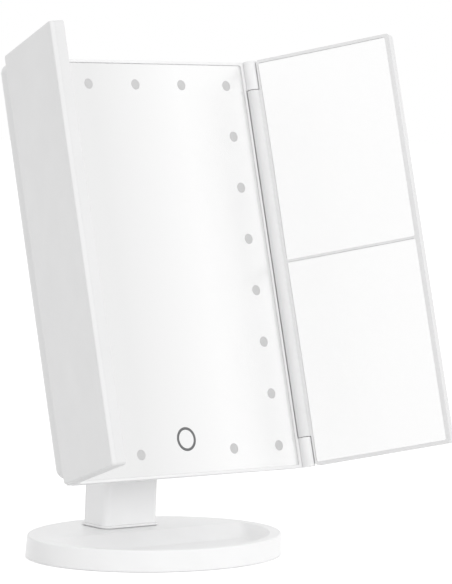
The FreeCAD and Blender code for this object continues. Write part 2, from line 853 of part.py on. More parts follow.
def wing_glass_panes(divided):
    """Low and high z of each mirror of a wing."""
    if divided:
        return [(-wing_glass_top, -wing_divider / 2), (wing_divider / 2, wing_glass_top)]
    return [(-wing_glass_top, wing_glass_top)]


def wing_frame(divided):
    """Front moulding of a wing with its hinge barrel, lip and floor."""
    plate = wing_outline(-wing_lip_forward, wing_parting)
    plate = round_face_edges(plate, -wing_lip_forward, edge_round)
    barrel = rod(barrel_radius, V(0, 0, -wing_barrel_end), Z_AXIS, 2 * wing_barrel_end)
    web = box(0, wing_root + wing_wall, -wing_lip_forward, barrel_radius,
              -wing_barrel_end, wing_barrel_end)
    body = fuse([plate, barrel, web])
    cuts = []
    for low, high in wing_glass_panes(divided):
        cuts.append(rounded_slab(
            wing_mirror_inner - slip_gap, wing_glass_outer + slip_gap,
            -wing_lip_forward, wing_glass_back, low - slip_gap, high + slip_gap, glass_corner,
        ))
    cuts.append(rounded_slab(
        wing_root + wing_wall, wing_reach - wing_wall, wing_glass_back + wing_floor, wing_parting,
        -half_height + wing_wall, half_height - wing_wall, glass_corner,
    ))
    for end in (-1, 1):
        deep = wing_barrel_end - hinge_pin_in_wing - move_gap
        low = min(end * deep, end * wing_barrel_end)
        cuts.append(rod(hinge_pin_radius + pin_running_gap, V(0, 0, low), Z_AXIS,
                        wing_barrel_end - deep))
    return body.cut(cuts).removeSplitter()


def wing_back():
    """Rear shell of a wing."""
    shell = wing_outline(wing_parting, wing_back_depth)
    shell = round_face_edges(shell, wing_back_depth, wing_back_round)
    hollow = wing_outline(wing_parting, wing_back_depth - wing_back_skin, wing_wall)
    return shell.cut(hollow)


def wing_mirror(low, high, dish):
    """One mirror of a wing, dished on the front when it magnifies."""
    glass = rounded_slab(wing_mirror_inner, wing_glass_outer, wing_glass_front, wing_glass_back,
                         low, high, glass_corner)
    if dish == 0:
        return glass
    half_width = (wing_glass_outer - wing_mirror_inner) / 2
    half_diagonal = math.hypot(half_width, (high - low) / 2)
    radius = (half_diagonal ** 2 + dish ** 2) / (2 * dish)
    centre = V((wing_mirror_inner + wing_glass_outer) / 2, wing_glass_front + dish - radius,
               (low + high) / 2)
    return glass.cut(Part.makeSphere(radius, centre))


def hinge_pins():
    """Two steel pins of one wing, each pressed in a knuckle and turning in the barrel."""
    pins = []
    for end in (-1, 1):
        inner = knuckle_foot - move_gap - hinge_pin_in_wing
        outer = knuckle_foot + hinge_pin_in_knuckle
        low = min(end * inner, end * outer)
        pins.append(rod(hinge_pin_radius, V(0, 0, low), Z_AXIS, outer - inner))
    return pins


# ---------------------------------------------------------------- stand
def ramp_block(drop):
    """Everything above the plane of the ramp, lowered by drop."""
    slope = math.atan2(dish_depth, ramp_run)
    reach = 2 * base_half_width
    block = Part.makeBox(2 * reach, 2 * reach, 4 * base_top, V(-reach, -reach, 0))
    block.rotate(V(0, 0, 0), X_AXIS, math.degrees(slope))
    block.translate(V(0, ramp_start, base_top - drop))
    return block


def dish_space(margin, drop):
    """Room of the dish before the neck, grown by margin and lowered by drop."""
    rim = (dish_half_width + margin, dish_half_depth + margin)
    foot = (rim[0] - dish_wall_run, rim[1] - dish_wall_run)
    hollow = ellipse_drum(foot, rim, dish_floor - drop, base_top - drop)
    above = ellipse_drum(rim, rim, base_top - drop, 3 * base_top)
    return hollow.fuse(above).common(ramp_block(drop))


def dish_form():
    """The dish itself, with soft corners between its wall, floor and ramp."""
    space = dish_space(0, 0)
    up_to_deck = edges_where(space, lambda point: point.z < base_top + 1e-6)
    inner_edges = [edge for edge in up_to_deck
                   if min(vertex.Point.z for vertex in edge.Vertexes) < base_top - 1e-6]
    return space.makeFillet(dish_corner, inner_edges)


def dish_upper_edges(shell):
    """Edges of the shell between the deck and the dish."""
    def beside_dish(point):
        in_rim = math.hypot(point.x / dish_half_width, point.y / dish_half_depth) < 1 + 1e-6
        return abs(point.z - base_top) < 1e-6 and in_rim and point.y < ramp_start + 1e-6

    return edges_where(shell, beside_dish)


def neck_screw_places():
    """Screws that hold the neck to the deck of the base."""
    return [(side * neck_post_x, y) for side in (-1, 1) for y in neck_post_rows]


def plate_screw_places():
    """Screws that hold the bottom plate."""
    return [(side * plate_screw_x, end * plate_screw_y) for side in (-1, 1) for end in (-1, 1)]


def base_shell():
    """Oval top shell with its dish, the seat of the neck and the screw bosses."""
    outer = ellipse_drum(
        (base_half_width, base_half_depth),
        (base_half_width - base_draft, base_half_depth - base_draft), rim_lift, base_top,
    )
    outer = outer.makeFillet(
        base_edge_round, edges_where(outer, lambda point: abs(point.z - base_top) < 1e-6)
    )
    inner = ellipse_drum(
        (base_half_width - base_wall, base_half_depth - base_wall),
        (base_half_width - base_draft - base_wall, base_half_depth - base_draft - base_wall),
        rim_lift, deck_under,
    )
    inner = inner.cut(dish_space(base_wall, base_wall))
    shell = outer.cut([dish_form(), inner])
    shell = shell.makeFillet(dish_edge_round, dish_upper_edges(shell))
    bosses = []
    for x, y in plate_screw_places():
        low = plate_top + slip_gap
        boss = rod(plate_boss_radius, V(x, y, low), Z_AXIS, deck_under + base_wall / 2 - low)
        bosses.append(boss.cut(dish_space(base_wall / 4, base_wall / 4)))
    shell = shell.fuse(bosses)
    cuts = [rounded_column(slip_gap, neck_seat, 2 * base_top)]
    for x, y in neck_screw_places():
        cuts.append(rod(screw_radius + slip_gap, V(x, y, 0), Z_AXIS, base_top))
    for x, y in plate_screw_places():
        cuts.append(rod(screw_radius + screw_pilot_gap, V(x, y, 0), Z_AXIS,
                        plate_screw_tip(y)))
    return shell.cut(cuts)


def plate_screw_tip(y):
    """Top of a bottom-plate screw, kept inside the deck or below the floor of the dish."""
    surface = base_top if y > ramp_start else dish_floor
    return surface - base_wall / 2


def rounded_column(grow, z0, z1):
    """Section of the neck grown outwards, between two heights."""
    column = box(-neck_half_width - grow, neck_half_width + grow,
                 neck_front - grow, neck_back + grow, z0, z1)

    def upright(point):
        on_side = abs(abs(point.x) - neck_half_width - grow) < 1e-6
        on_face = min(abs(point.y - neck_front + grow), abs(point.y - neck_back - grow)) < 1e-6
        return on_side and on_face

    return column.makeFillet(neck_corner + grow, edges_where(column, upright))


def base_plate():
    """Flat bottom cover inside the rim of the shell."""
    inset = base_draft + base_wall + plate_gap
    size = (base_half_width - inset, base_half_depth - inset)
    plate = ellipse_drum(size, size, pad_thickness, plate_top)
    cuts = []
    for x, y in plate_screw_places():
        cuts.append(rod(screw_radius + slip_gap, V(x, y, 0), Z_AXIS, base_top))
        cuts.append(rod(screw_head_radius + slip_gap, V(x, y, 0), Z_AXIS,
                        screw_lift + screw_head_height))
    return plate.cut(cuts)


def base_weight():
    """Steel ballast under the deck, its front sloping under the ramp."""
    inset = base_draft + base_wall + weight_inset
    size = (base_half_width - inset, base_half_depth - inset)
    oval = ellipse_drum(size, size, plate_top, plate_top + weight_thickness)
    rear = box(-base_half_width, base_half_width, weight_front, base_half_depth, 0, base_top)
    slab = oval.common(rear)
    cuts = [ramp_block(base_wall + move_gap)]
    for x, y in neck_screw_places():
        cuts.append(rod(screw_head_radius + move_gap, V(x, y, 0), Z_AXIS, base_top))
    for x, y in plate_screw_places():
        cuts.append(rod(plate_boss_radius + move_gap, V(x, y, 0), Z_AXIS, base_top))
    return slab.cut(cuts)


def non_slip_pad():
    """Rubber pad that the stand rests on, with a hole at each plate screw."""
    inset = base_draft + pad_inset
    size = (base_half_width - inset, base_half_depth - inset)
    pad = ellipse_drum(size, size, 0, pad_thickness)
    cuts = []
    for x, y in plate_screw_places():
        cuts.append(rod(screw_head_radius + slip_gap, V(x, y, 0), Z_AXIS, base_top))
    return pad.cut(cuts)


def base_screws():
    """Screws of the bottom plate, their heads sunk in the pad and the plate."""
    screws = []
    for x, y in plate_screw_places():
        place = FreeCAD.Placement(V(x, y, screw_lift), FreeCAD.Rotation())
        screws.append(screw(place, plate_screw_tip(y) - screw_lift - screw_head_height))
    return screws


# ---------------------------------------------------------------- neck and tilt hinge
def neck_profile(inset):
    """Side outline of the neck, moved in by inset, as a face in the y-z plane."""
    radius = neck_barrel_radius - inset
    front = neck_front + inset
    back = neck_back - inset
    foot = neck_seat
    centre = V(0, pivot_y, pivot_z)

    def tangent(corner, way):
        span = centre - corner
        away = math.hypot(span.y, span.z)
        heading = math.atan2(span.z, span.y)
        turn = math.asin(radius / away)
        along = away * math.cos(turn)
        angle = heading + way * turn
        return V(0, corner.y + along * math.cos(angle), corner.z + along * math.sin(angle))

    front_bend = V(0, front, neck_straight_top)
    back_bend = V(0, back, neck_straight_top)
    front_touch = tangent(front_bend, 1)
    back_touch = tangent(back_bend, -1)
    crown = V(0, pivot_y, pivot_z + radius)
    outline = Part.Wire([
        Part.LineSegment(V(0, front, foot), front_bend).toShape(),
        Part.LineSegment(front_bend, front_touch).toShape(),
        Part.Arc(front_touch, crown, back_touch).toShape(),
        Part.LineSegment(back_touch, back_bend).toShape(),
        Part.LineSegment(back_bend, V(0, back, foot)).toShape(),
        Part.LineSegment(V(0, back, foot), V(0, front, foot)).toShape(),
    ])
    return Part.Face(outline)


def neck_form(inset, half_width, corner):
    """Solid neck form with softened bends and corners."""
    face = neck_profile(inset)
    face.translate(V(-half_width, 0, 0))
    form = face.extrude(V(2 * half_width, 0, 0))

    def at_bend(point):
        on_face = min(abs(point.y - neck_front - inset), abs(point.y - neck_back + inset)) < 1e-6
        return on_face and abs(point.z - neck_straight_top) < 1e-6

    form = form.makeFillet(neck_bend_round, edges_where(form, at_bend))

    def on_side(point):
        return abs(abs(point.x) - half_width) < 1e-6

    side_edges = [edge for edge in edges_where(form, on_side)
                  if max(abs(vertex.Point.z - neck_seat) for vertex in edge.Vertexes) > 1e-6]
    return form.makeFillet(corner, side_edges)


def neck_shell():
    """Hollow neck with its foot flange, the boss for the tilt pin and posts for the screws."""
    flange = rounded_column(flange_width, base_top + flange_gap, base_top + flange_height)
    outer = neck_form(0, neck_half_width, neck_corner)
    inner = neck_form(neck_wall, neck_half_width - neck_wall, neck_corner - neck_wall)
    reach = 2 * base_half_width
    room = inner.common(box(-reach, reach, -reach, reach, neck_seat + neck_foot, 2 * pivot_z))
    shell = fuse([outer, flange]).cut(room)
    boss_start = V(-neck_half_width + edge_round, pivot_y, pivot_z)
    boss = rod(pivot_boss_radius, boss_start, X_AXIS, 2 * (neck_half_width - edge_round))
    posts = [rod(neck_post_radius, V(x, y, neck_seat), Z_AXIS, neck_post_height)
             for x, y in neck_screw_places()]
    shell = fuse([shell, boss] + [post.common(outer) for post in posts])
    pilots = [rod(screw_radius + screw_pilot_gap, V(x, y, 0), Z_AXIS,
                  neck_seat + neck_post_height - neck_wall / 2) for x, y in neck_screw_places()]
    bore = rod(tilt_pin_radius + pin_running_gap, V(-lug_outer, pivot_y, pivot_z), X_AXIS,
               2 * lug_outer)
    return shell.cut(pilots + [bore])


def neck_parts():
    """The neck split into its column and its rear cover."""
    shell = neck_shell()
    reach = 2 * base_half_width
    foot = base_top + flange_height + neck_foot
    behind = box(-reach, reach, neck_split, reach, foot, 2 * pivot_z)
    grown = box(-reach, reach, neck_split - slip_gap, reach, foot - slip_gap, 2 * pivot_z)
    return shell.cut(grown), shell.common(behind)


def neck_screws():
    """Screws from under the deck into the posts of the neck."""
    screws = []
    length = neck_seat - deck_under + neck_post_height - neck_wall
    for x, y in neck_screw_places():
        place = FreeCAD.Placement(V(x, y, deck_under - screw_head_height), FreeCAD.Rotation())
        screws.append(screw(place, length))
    return screws


def tilt_pin():
    """Steel pin through both lugs and the neck."""
    reach = lug_outer - cap_depth
    return rod(tilt_pin_radius, V(-reach, pivot_y, pivot_z), X_AXIS, 2 * reach)


def friction_washers():
    """Washers between the neck and each lug."""
    washers = []
    for x0 in (-neck_half_width - washer_thickness + slip_gap / 2, neck_half_width + slip_gap / 2):
        disc = rod(washer_radius, V(x0, pivot_y, pivot_z), X_AXIS, washer_thickness - slip_gap)
        hole = rod(tilt_pin_radius + pin_running_gap, V(x0, pivot_y, pivot_z), X_AXIS,
                   washer_thickness)
        washers.append(disc.cut(hole))
    return washers


def pin_caps():
    """Round covers over the ends of the tilt pin."""
    centre = pivot_in_head
    caps = []
    for side in (-1, 1):
        start = V(side * (lug_outer - cap_depth), centre.y, centre.z)
        cap = rod(cap_radius, start, X_AXIS * side, cap_depth)
        caps.append(cap)
    return caps


# ---------------------------------------------------------------- assembly
def placed(shapes, place):
    """Copies of the shapes moved by a placement."""
    moved = []
    for shape in shapes:
        copy = shape.copy()
        copy.Placement = place.multiply(copy.Placement)
        moved.append(copy)
    return moved


def mirrored(shapes):
    """Left-hand copies of right-hand shapes."""
    return [shape.mirror(V(0, 0, 0), X_AXIS) for shape in shapes]


def save(name, shapes):
    """Write one node as a STEP file."""
    solid = shapes[0] if len(shapes) == 1 else Part.makeCompound(shapes)
    solid.exportStep("parts/" + name + ".step")
    print("%-20s %3d solids %10.1f mm3" % (name, len(solid.Solids), solid.Volume))


def head_nodes():
    """Pieces of the main panel, in the head's own frame."""
    disc, spring = touch_pad()
    return {
        "main_frame": [main_frame()],
        "main_mirror": [main_mirror()],
        "led_lenses": led_lenses(),
        "led_chips": led_chips(),
        "led_board": [led_board()],
        "touch_ring": [touch_ring()],
        "touch_sensor": [disc, spring],
        "control_board": [control_board()],
        "usb_socket": [usb_socket()],
        "rear_cover": [rear_cover()],
        "rear_cover_screws": rear_cover_screws(),
        "switch_body": [switch_body()],
        "power_slider": [power_slider()],
        "battery_tray": [battery_tray()],
        "battery_cells": battery_cells(),
        "battery_springs": battery_springs(),
        "battery_contacts": battery_contacts(),
        "battery_leads": battery_leads(),
        "battery_door": [battery_door()],
        "tilt_pin_caps": pin_caps(),
    }


def stand_nodes():
    """Pieces of the stand."""
    column, cover = neck_parts()
    return {
        "base_shell": [base_shell()],
        "base_plate": [base_plate()],
        "base_weight": [base_weight()],
        "non_slip_pad": [non_slip_pad()],
        "base_screws": base_screws(),
        "neck_column": [column],
        "neck_rear_cover": [cover],
        "neck_screws": neck_screws(),
        "tilt_pin": [tilt_pin()],
        "friction_washers": friction_washers(),
    }


def main():
    os.makedirs("parts", exist_ok=True)
    for name, shapes in stand_nodes().items():
        save(name, shapes)
    for name, shapes in head_nodes().items():
        save(name, placed(shapes, head_place))
    panes = wing_glass_panes(True)
    right = {
        "right_wing_frame": [wing_frame(True)],
        "right_wing_back": [wing_back()],
        "right_lower_mirror": [wing_mirror(panes[0][0], panes[0][1], lower_dish)],
        "right_upper_mirror": [wing_mirror(panes[1][0], panes[1][1], upper_dish)],
        "right_hinge_pins": hinge_pins(),
    }
    for name, shapes in right.items():
        save(name, placed(shapes, right_place))
    low, high = wing_glass_panes(False)[0]
    left = {
        "left_wing_frame": [wing_frame(False)],
        "left_wing_back": [wing_back()],
        "left_mirror": [wing_mirror(low, high, 0)],
        "left_hinge_pins": hinge_pins(),
    }
    for name, shapes in left.items():
        save(name, placed(mirrored(shapes), left_place))


main()
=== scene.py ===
"""Looks of a trifold vanity mirror on a weighted oval stand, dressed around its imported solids.

Everything is in metres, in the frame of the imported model: +Z is up, the front of the mirror faces
-Y, and the origin is the centre of the face that the stand rests on.  Sizes in the classes are in
millimetres, as a drawing of the mirror would give them.  Only the lamps and the floor are given
in metres.
"""

import json
import logging
import math
from collections.abc import Iterable, Sequence
from dataclasses import dataclass, field
from enum import Enum

import bmesh
import bpy
from mathutils import Matrix, Vector

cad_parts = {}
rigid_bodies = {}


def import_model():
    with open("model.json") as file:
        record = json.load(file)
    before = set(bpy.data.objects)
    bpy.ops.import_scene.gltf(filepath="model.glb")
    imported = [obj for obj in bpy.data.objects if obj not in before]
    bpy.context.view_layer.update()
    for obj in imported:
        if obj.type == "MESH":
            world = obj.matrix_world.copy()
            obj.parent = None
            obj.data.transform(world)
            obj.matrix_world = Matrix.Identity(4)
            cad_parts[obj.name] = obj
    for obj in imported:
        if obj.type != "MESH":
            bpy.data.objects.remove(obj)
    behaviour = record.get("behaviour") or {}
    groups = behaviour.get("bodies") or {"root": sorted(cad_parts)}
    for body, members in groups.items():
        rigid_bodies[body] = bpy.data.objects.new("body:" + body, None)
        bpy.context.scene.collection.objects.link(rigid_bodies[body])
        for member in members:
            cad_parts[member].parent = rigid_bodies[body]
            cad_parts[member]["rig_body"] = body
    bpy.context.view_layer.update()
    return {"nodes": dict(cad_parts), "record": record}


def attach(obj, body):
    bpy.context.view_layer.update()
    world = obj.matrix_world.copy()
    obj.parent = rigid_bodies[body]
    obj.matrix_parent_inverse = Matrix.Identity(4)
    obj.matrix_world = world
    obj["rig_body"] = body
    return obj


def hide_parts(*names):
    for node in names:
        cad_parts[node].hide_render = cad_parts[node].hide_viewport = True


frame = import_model()

LOG = logging.getLogger("vanity_mirror")
MM = 0.001

# Mesh tools: lengths in metres, angles in degrees.
MERGE_DISTANCE = 1e-6
PIECE_SHARP_DEG = 32.0
SKIN_SHARP_DEG = 28.0
SHADING_REACH_DEG = 30.0
FACE_FRONT = Matrix.Rotation(math.pi / 2, 4, "X")

# Sizes that several sub-assemblies share, in millimetres.
HINGE_X = 85.9
HINGE_FORWARD = 2.5
PANEL_HALF_HEIGHT = 118.75
PANE_BORDER = 1.9
HALF_BAR = 0.8

Colour = tuple[float, float, float]
Point = tuple[float, float, float]
Key = str | int
Tone = Colour | bpy.types.NodeSocket


class Slot(Enum):
    """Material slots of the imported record."""

    PLASTIC = "white_plastic"
    MIRROR = "mirror_glass"
    LENS = "frosted_lens"
    INLAY = "grey_inlay"
    STEEL = "zinc_steel"
    BALLAST = "ballast_steel"
    COPPER = "copper_foil"
    BOARD = "circuit_board"
    PHOSPHOR = "led_phosphor"
    RUBBER = "grip_rubber"
    BLACK = "black_plastic"
    CELL = "cell_sleeve"
    LEAD = "lead_red"


class Body(Enum):
    """Moving bodies of the mirror."""

    STAND = "stand"
    HEAD = "head"
    RIGHT_WING = "right_wing"
    LEFT_WING = "left_wing"
    SLIDER = "slider"
    DOOR = "door"


class Side(Enum):
    """Sides of the mirror, by the sign of their x."""

    LEFT = -1
    RIGHT = 1


# ------------------------------------------------------------------------------- node trees
class NodeGraph:
    """Node tree with a short way to add nodes and join them."""

    def __init__(self, tree: bpy.types.NodeTree) -> None:
        """Take over a tree and empty it.

        Args:
            tree: The tree to fill.
        """
        self.tree = tree
        self.tree.nodes.clear()

    def add(
        self,
        kind: str,
        settings: dict[str, object] | None = None,
        values: dict[Key, object] | None = None,
        links: dict[Key, bpy.types.NodeSocket] | None = None,
    ) -> bpy.types.Node:
        """Add a node.

        Args:
            kind: Blender's name of the node type.
            settings: Properties of the node itself.
            values: Constants for its input sockets, by name or number.
            links: Output sockets that feed its input sockets, by name or number.

        Returns:
            The new node.
        """
        node = self.tree.nodes.new(kind)
        for key, value in (settings or {}).items():
            setattr(node, key, value)
        for key, value in (values or {}).items():
            node.inputs[key].default_value = value
        for key, source in (links or {}).items():
            self.tree.links.new(source, node.inputs[key])
        return node


class ShaderGraph(NodeGraph):
    """Node tree of one material."""

    MIX_FACTOR, MIX_LOW, MIX_HIGH, MIX_RESULT = 0, 6, 7, 2
    BEVEL_SAMPLES = 4
    OPENNESS_SAMPLES = 6
    DEEP_OPENNESS, FREE_OPENNESS = 0.10, 0.62

    def __init__(self, name: str) -> None:
        """Start an empty material.

        Args:
            name: Name of the material.
        """
        self.material = bpy.data.materials.new(name)
        self.material.use_nodes = True
        super().__init__(self.material.node_tree)

    def place(self) -> bpy.types.NodeSocket:
        """Place on the piece, in object space."""
        return self.add("ShaderNodeTexCoord").outputs["Object"]

    def noise(self, size_mm: float, detail: float) -> bpy.types.NodeSocket:
        """Noise in object space.

        Args:
            size_mm: Size of its blotches.
            detail: Octaves of finer noise.

        Returns:
            The socket with values from 0 to 1.
        """
        node = self.add(
            "ShaderNodeTexNoise",
            values={"Scale": 1.0 / (size_mm * MM), "Detail": detail},
            links={"Vector": self.place()},
        )
        return node.outputs["Fac"]

    def spread(
        self, source: bpy.types.NodeSocket, low: float = 0.0, high: float = 1.0,
        from_low: float = 0.3, from_high: float = 0.7,
    ) -> bpy.types.NodeSocket:
        """Map a factor to a range.

        Args:
            source: Factor to map.
            low: Result at from_low.
            high: Result at from_high.
            from_low: Lower end of the factor's range.
            from_high: Upper end of the factor's range.

        Returns:
            The mapped socket.
        """
        node = self.add(
            "ShaderNodeMapRange",
            values={"From Min": from_low, "From Max": from_high, "To Min": low, "To Max": high},
            links={"Value": source},
        )
        return node.outputs["Result"]

    def blend(
        self, factor: bpy.types.NodeSocket, low: Tone, high: Tone,
    ) -> bpy.types.NodeSocket:
        """Blend between two colours.

        Args:
            factor: Where it is 0 the first colour shows, where it is 1 the second.
            low: First colour, fixed or from a socket.
            high: Second colour, fixed or from a socket.

        Returns:
            The colour socket.
        """
        node = self.add("ShaderNodeMix", settings={"data_type": "RGBA"},
                        links={self.MIX_FACTOR: factor})
        for number, tone in ((self.MIX_LOW, low), (self.MIX_HIGH, high)):
            if isinstance(tone, bpy.types.NodeSocket):
                self.tree.links.new(tone, node.inputs[number])
            else:
                node.inputs[number].default_value = (*tone, 1.0)
        return node.outputs[self.MIX_RESULT]

    def openness(self, reach_mm: float) -> bpy.types.NodeSocket:
        """Openness of the surface to its near surroundings.

        Args:
            reach_mm: How far away a neighbouring surface still counts.

        Returns:
            The socket, 0 deep in a joint and 1 on an open face.
        """
        node = self.add("ShaderNodeAmbientOcclusion",
                        settings={"samples": self.OPENNESS_SAMPLES},
                        values={"Distance": reach_mm * MM})
        return self.spread(node.outputs["AO"], from_low=self.DEEP_OPENNESS,
                           from_high=self.FREE_OPENNESS)

    def relief(
        self, height: bpy.types.NodeSocket, strength: float, depth_mm: float, round_mm: float,
    ) -> bpy.types.NodeSocket:
        """Fine relief over softly rounded edges.

        Args:
            height: Height factor.
            strength: How strongly the relief shows.
            depth_mm: Height of the relief.
            round_mm: Radius of the softened edges.

        Returns:
            The normal socket.
        """
        edge = self.add("ShaderNodeBevel", settings={"samples": self.BEVEL_SAMPLES},
                        values={"Radius": round_mm * MM})
        bump = self.add(
            "ShaderNodeBump",
            values={"Strength": strength, "Distance": depth_mm * MM},
            links={"Height": height, "Normal": edge.outputs["Normal"]},
        )
        return bump.outputs["Normal"]

    def surface(
        self, values: dict[Key, object], links: dict[Key, bpy.types.NodeSocket],
    ) -> bpy.types.Material:
        """Close the tree with a principled surface.

        Args:
            values: Constants of the surface's sockets.
            links: Sockets that vary over the surface.

        Returns:
            The finished material.
        """
        shader = self.add("ShaderNodeBsdfPrincipled", values=values, links=links)
        self.add("ShaderNodeOutputMaterial", links={"Surface": shader.outputs["BSDF"]})
        return self.material


# ------------------------------------------------------------------------------- finishes
def dimmed(colour: Colour, share: float) -> Colour:
    """Same share of each channel of a colour."""
    return tuple(channel * share for channel in colour)


@dataclass(frozen=True)
class MouldedPlastic:
    """Injection-moulded plastic: a fine skin, uneven gloss and painted shade that darkens its
    joints, creases and gaps.
    """

    name: str
    colour: Colour
    shade: float = 0.975
    patch_mm: float = 28.0
    patch_detail: float = 2.0
    rough: tuple[float, float] = (0.30, 0.38)
    marks_per_patch: float = 3.0
    mark_detail: float = 5.0
    skin_mm: float = 0.35
    skin_detail: float = 4.0
    skin_depth_mm: float = 0.02
    skin_strength: float = 0.05
    edge_mm: float = 0.30
    # Painted shade: the next two set how far the ambient-occlusion darkening reaches and how dark
    # it paints joints, creases and gaps.
    crevice_reach_mm: float = 2.2
    crevice_shade: float = 0.35
    ior: float = 1.49
    coat: float = 0.10
    coat_rough: float = 0.15

    def material(self) -> bpy.types.Material:
        """Build the material.

        Returns:
            The finished material.
        """
        graph = ShaderGraph(self.name)
        patches = graph.noise(self.patch_mm, self.patch_detail)
        skin = graph.noise(self.skin_mm, self.skin_detail)
        marks = graph.noise(self.patch_mm / self.marks_per_patch, self.mark_detail)
        open_colour = graph.blend(graph.spread(patches), dimmed(self.colour, self.shade),
                                  self.colour)
        # Painted shade: ambient occlusion darkens the colour in joints, creases and gaps.
        colour = graph.blend(graph.openness(self.crevice_reach_mm),
                             dimmed(self.colour, self.crevice_shade), open_colour)
        return graph.surface(
            values={"IOR": self.ior, "Coat Weight": self.coat,
                    "Coat Roughness": self.coat_rough},
            links={
                "Base Color": colour,
                "Roughness": graph.spread(marks, *self.rough),
                "Normal": graph.relief(skin, self.skin_strength, self.skin_depth_mm,
                                       self.edge_mm),
            },
        )


@dataclass(frozen=True)
class SilveredGlass:
    """Silvered mirror glass with faint wiping marks and painted shade that darkens it towards one
    side.
    """

    name: str
    colour: Colour = (1.0, 1.0, 1.0)
    tint: Colour = (0.995, 0.995, 0.995)
    # Painted shade: the glass is darkened to this tone along x, fading out from the low to the high
    # end of the range.
    side_shade_tone: Colour = (0.995, 0.995, 0.995)
    shade_from_mm: float = -32.0
    shade_to_mm: float = 32.0
    rough: tuple[float, float] = (0.22, 0.27)
    smear_mm: float = 26.0
    smear_detail: float = 5.0
    coat: float = 0.03
    coat_rough: float = 0.02

    def material(self) -> bpy.types.Material:
        """Build the material.

        Returns:
            The finished material.
        """
        graph = ShaderGraph(self.name)
        smears = graph.noise(self.smear_mm, self.smear_detail)
        axes = graph.add("ShaderNodeSeparateXYZ", links={"Vector": graph.place()})
        # Painted shade: ramp along the piece's x that darkens the mirror towards one side.
        side = graph.spread(axes.outputs["X"], from_low=self.shade_from_mm * MM,
                            from_high=self.shade_to_mm * MM)
        wiped = graph.blend(graph.spread(smears), self.tint, self.colour)
        return graph.surface(
            values={"Metallic": 1.0, "Coat Weight": self.coat,
                    "Coat Roughness": self.coat_rough},
            links={
                "Base Color": graph.blend(side, self.side_shade_tone, wiped),
                "Roughness": graph.spread(smears, *self.rough),
            },
        )


@dataclass(frozen=True)
class Metal:
    """Plated or bare metal with an even grain and patches of tarnish."""

    name: str
    colour: Colour
    tarnish: Colour
    patch_mm: float = 6.0
    patch_detail: float = 3.0
    rough: tuple[float, float] = (0.22, 0.42)
    grain_mm: float = 0.6
    grain_detail: float = 6.0
    grain_depth_mm: float = 0.02
    grain_strength: float = 0.15
    edge_mm: float = 0.15

    def material(self) -> bpy.types.Material:
        """Build the material.

        Returns:
            The finished material.
        """
        graph = ShaderGraph(self.name)
        grain = graph.noise(self.grain_mm, self.grain_detail)
        patches = graph.noise(self.patch_mm, self.patch_detail)
        return graph.surface(
            values={"Metallic": 1.0},
            links={
                "Base Color": graph.blend(graph.spread(patches), self.tarnish, self.colour),
                "Roughness": graph.spread(grain, *self.rough),
                "Normal": graph.relief(grain, self.grain_strength, self.grain_depth_mm,
                                       self.edge_mm),
            },
        )


@dataclass(frozen=True)
class Speckled:
    """Dull material with fine speckle and relief, such as rubber, ink or phosphor."""

    name: str
    colour: Colour
    speck: Colour
    rough: tuple[float, float] = (0.5, 0.7)
    speck_mm: float = 0.5
    speck_detail: float = 4.0
    speck_depth_mm: float = 0.03
    strength: float = 0.2
    edge_mm: float = 0.15

    def material(self) -> bpy.types.Material:
        """Build the material.

        Returns:
            The finished material.
        """
        graph = ShaderGraph(self.name)
        speck = graph.noise(self.speck_mm, self.speck_detail)
        return graph.surface(
            values={},
            links={
                "Base Color": graph.blend(graph.spread(speck), self.colour, self.speck),
                "Roughness": graph.spread(speck, *self.rough),
                "Normal": graph.relief(speck, self.strength, self.speck_depth_mm,
                                       self.edge_mm),
            },
        )


@dataclass(frozen=True)
class CircuitLaminate:
    """Green board with copper tracks under the lacquer."""

    name: str
    lacquer: Colour = (0.020, 0.135, 0.055)
    track: Colour = (0.050, 0.240, 0.090)
    pitch_mm: float = 2.2
    track_width: float = 0.12
    track_length: float = 3.0
    track_spacing: float = 0.6
    track_stagger: float = 0.5
    track_depth_mm: float = 0.03
    track_strength: float = 0.3
    edge_mm: float = 0.1
    rough: float = 0.35
    coat: float = 0.5
    coat_rough: float = 0.1

    def material(self) -> bpy.types.Material:
        """Build the material.

        Returns:
            The finished material.
        """
        graph = ShaderGraph(self.name)
        bricks = graph.add(
            "ShaderNodeTexBrick",
            settings={"offset": self.track_stagger},
            values={"Scale": 1.0 / (self.pitch_mm * MM), "Mortar Size": self.track_width,
                    "Brick Width": self.track_length, "Row Height": self.track_spacing},
            links={"Vector": graph.place()},
        )
        tracks = bricks.outputs["Fac"]
        return graph.surface(
            values={"Coat Weight": self.coat, "Coat Roughness": self.coat_rough,
                    "Roughness": self.rough},
            links={
                "Base Color": graph.blend(tracks, self.lacquer, self.track),
                "Normal": graph.relief(tracks, self.track_strength, self.track_depth_mm,
                                       self.edge_mm),
            },
        )


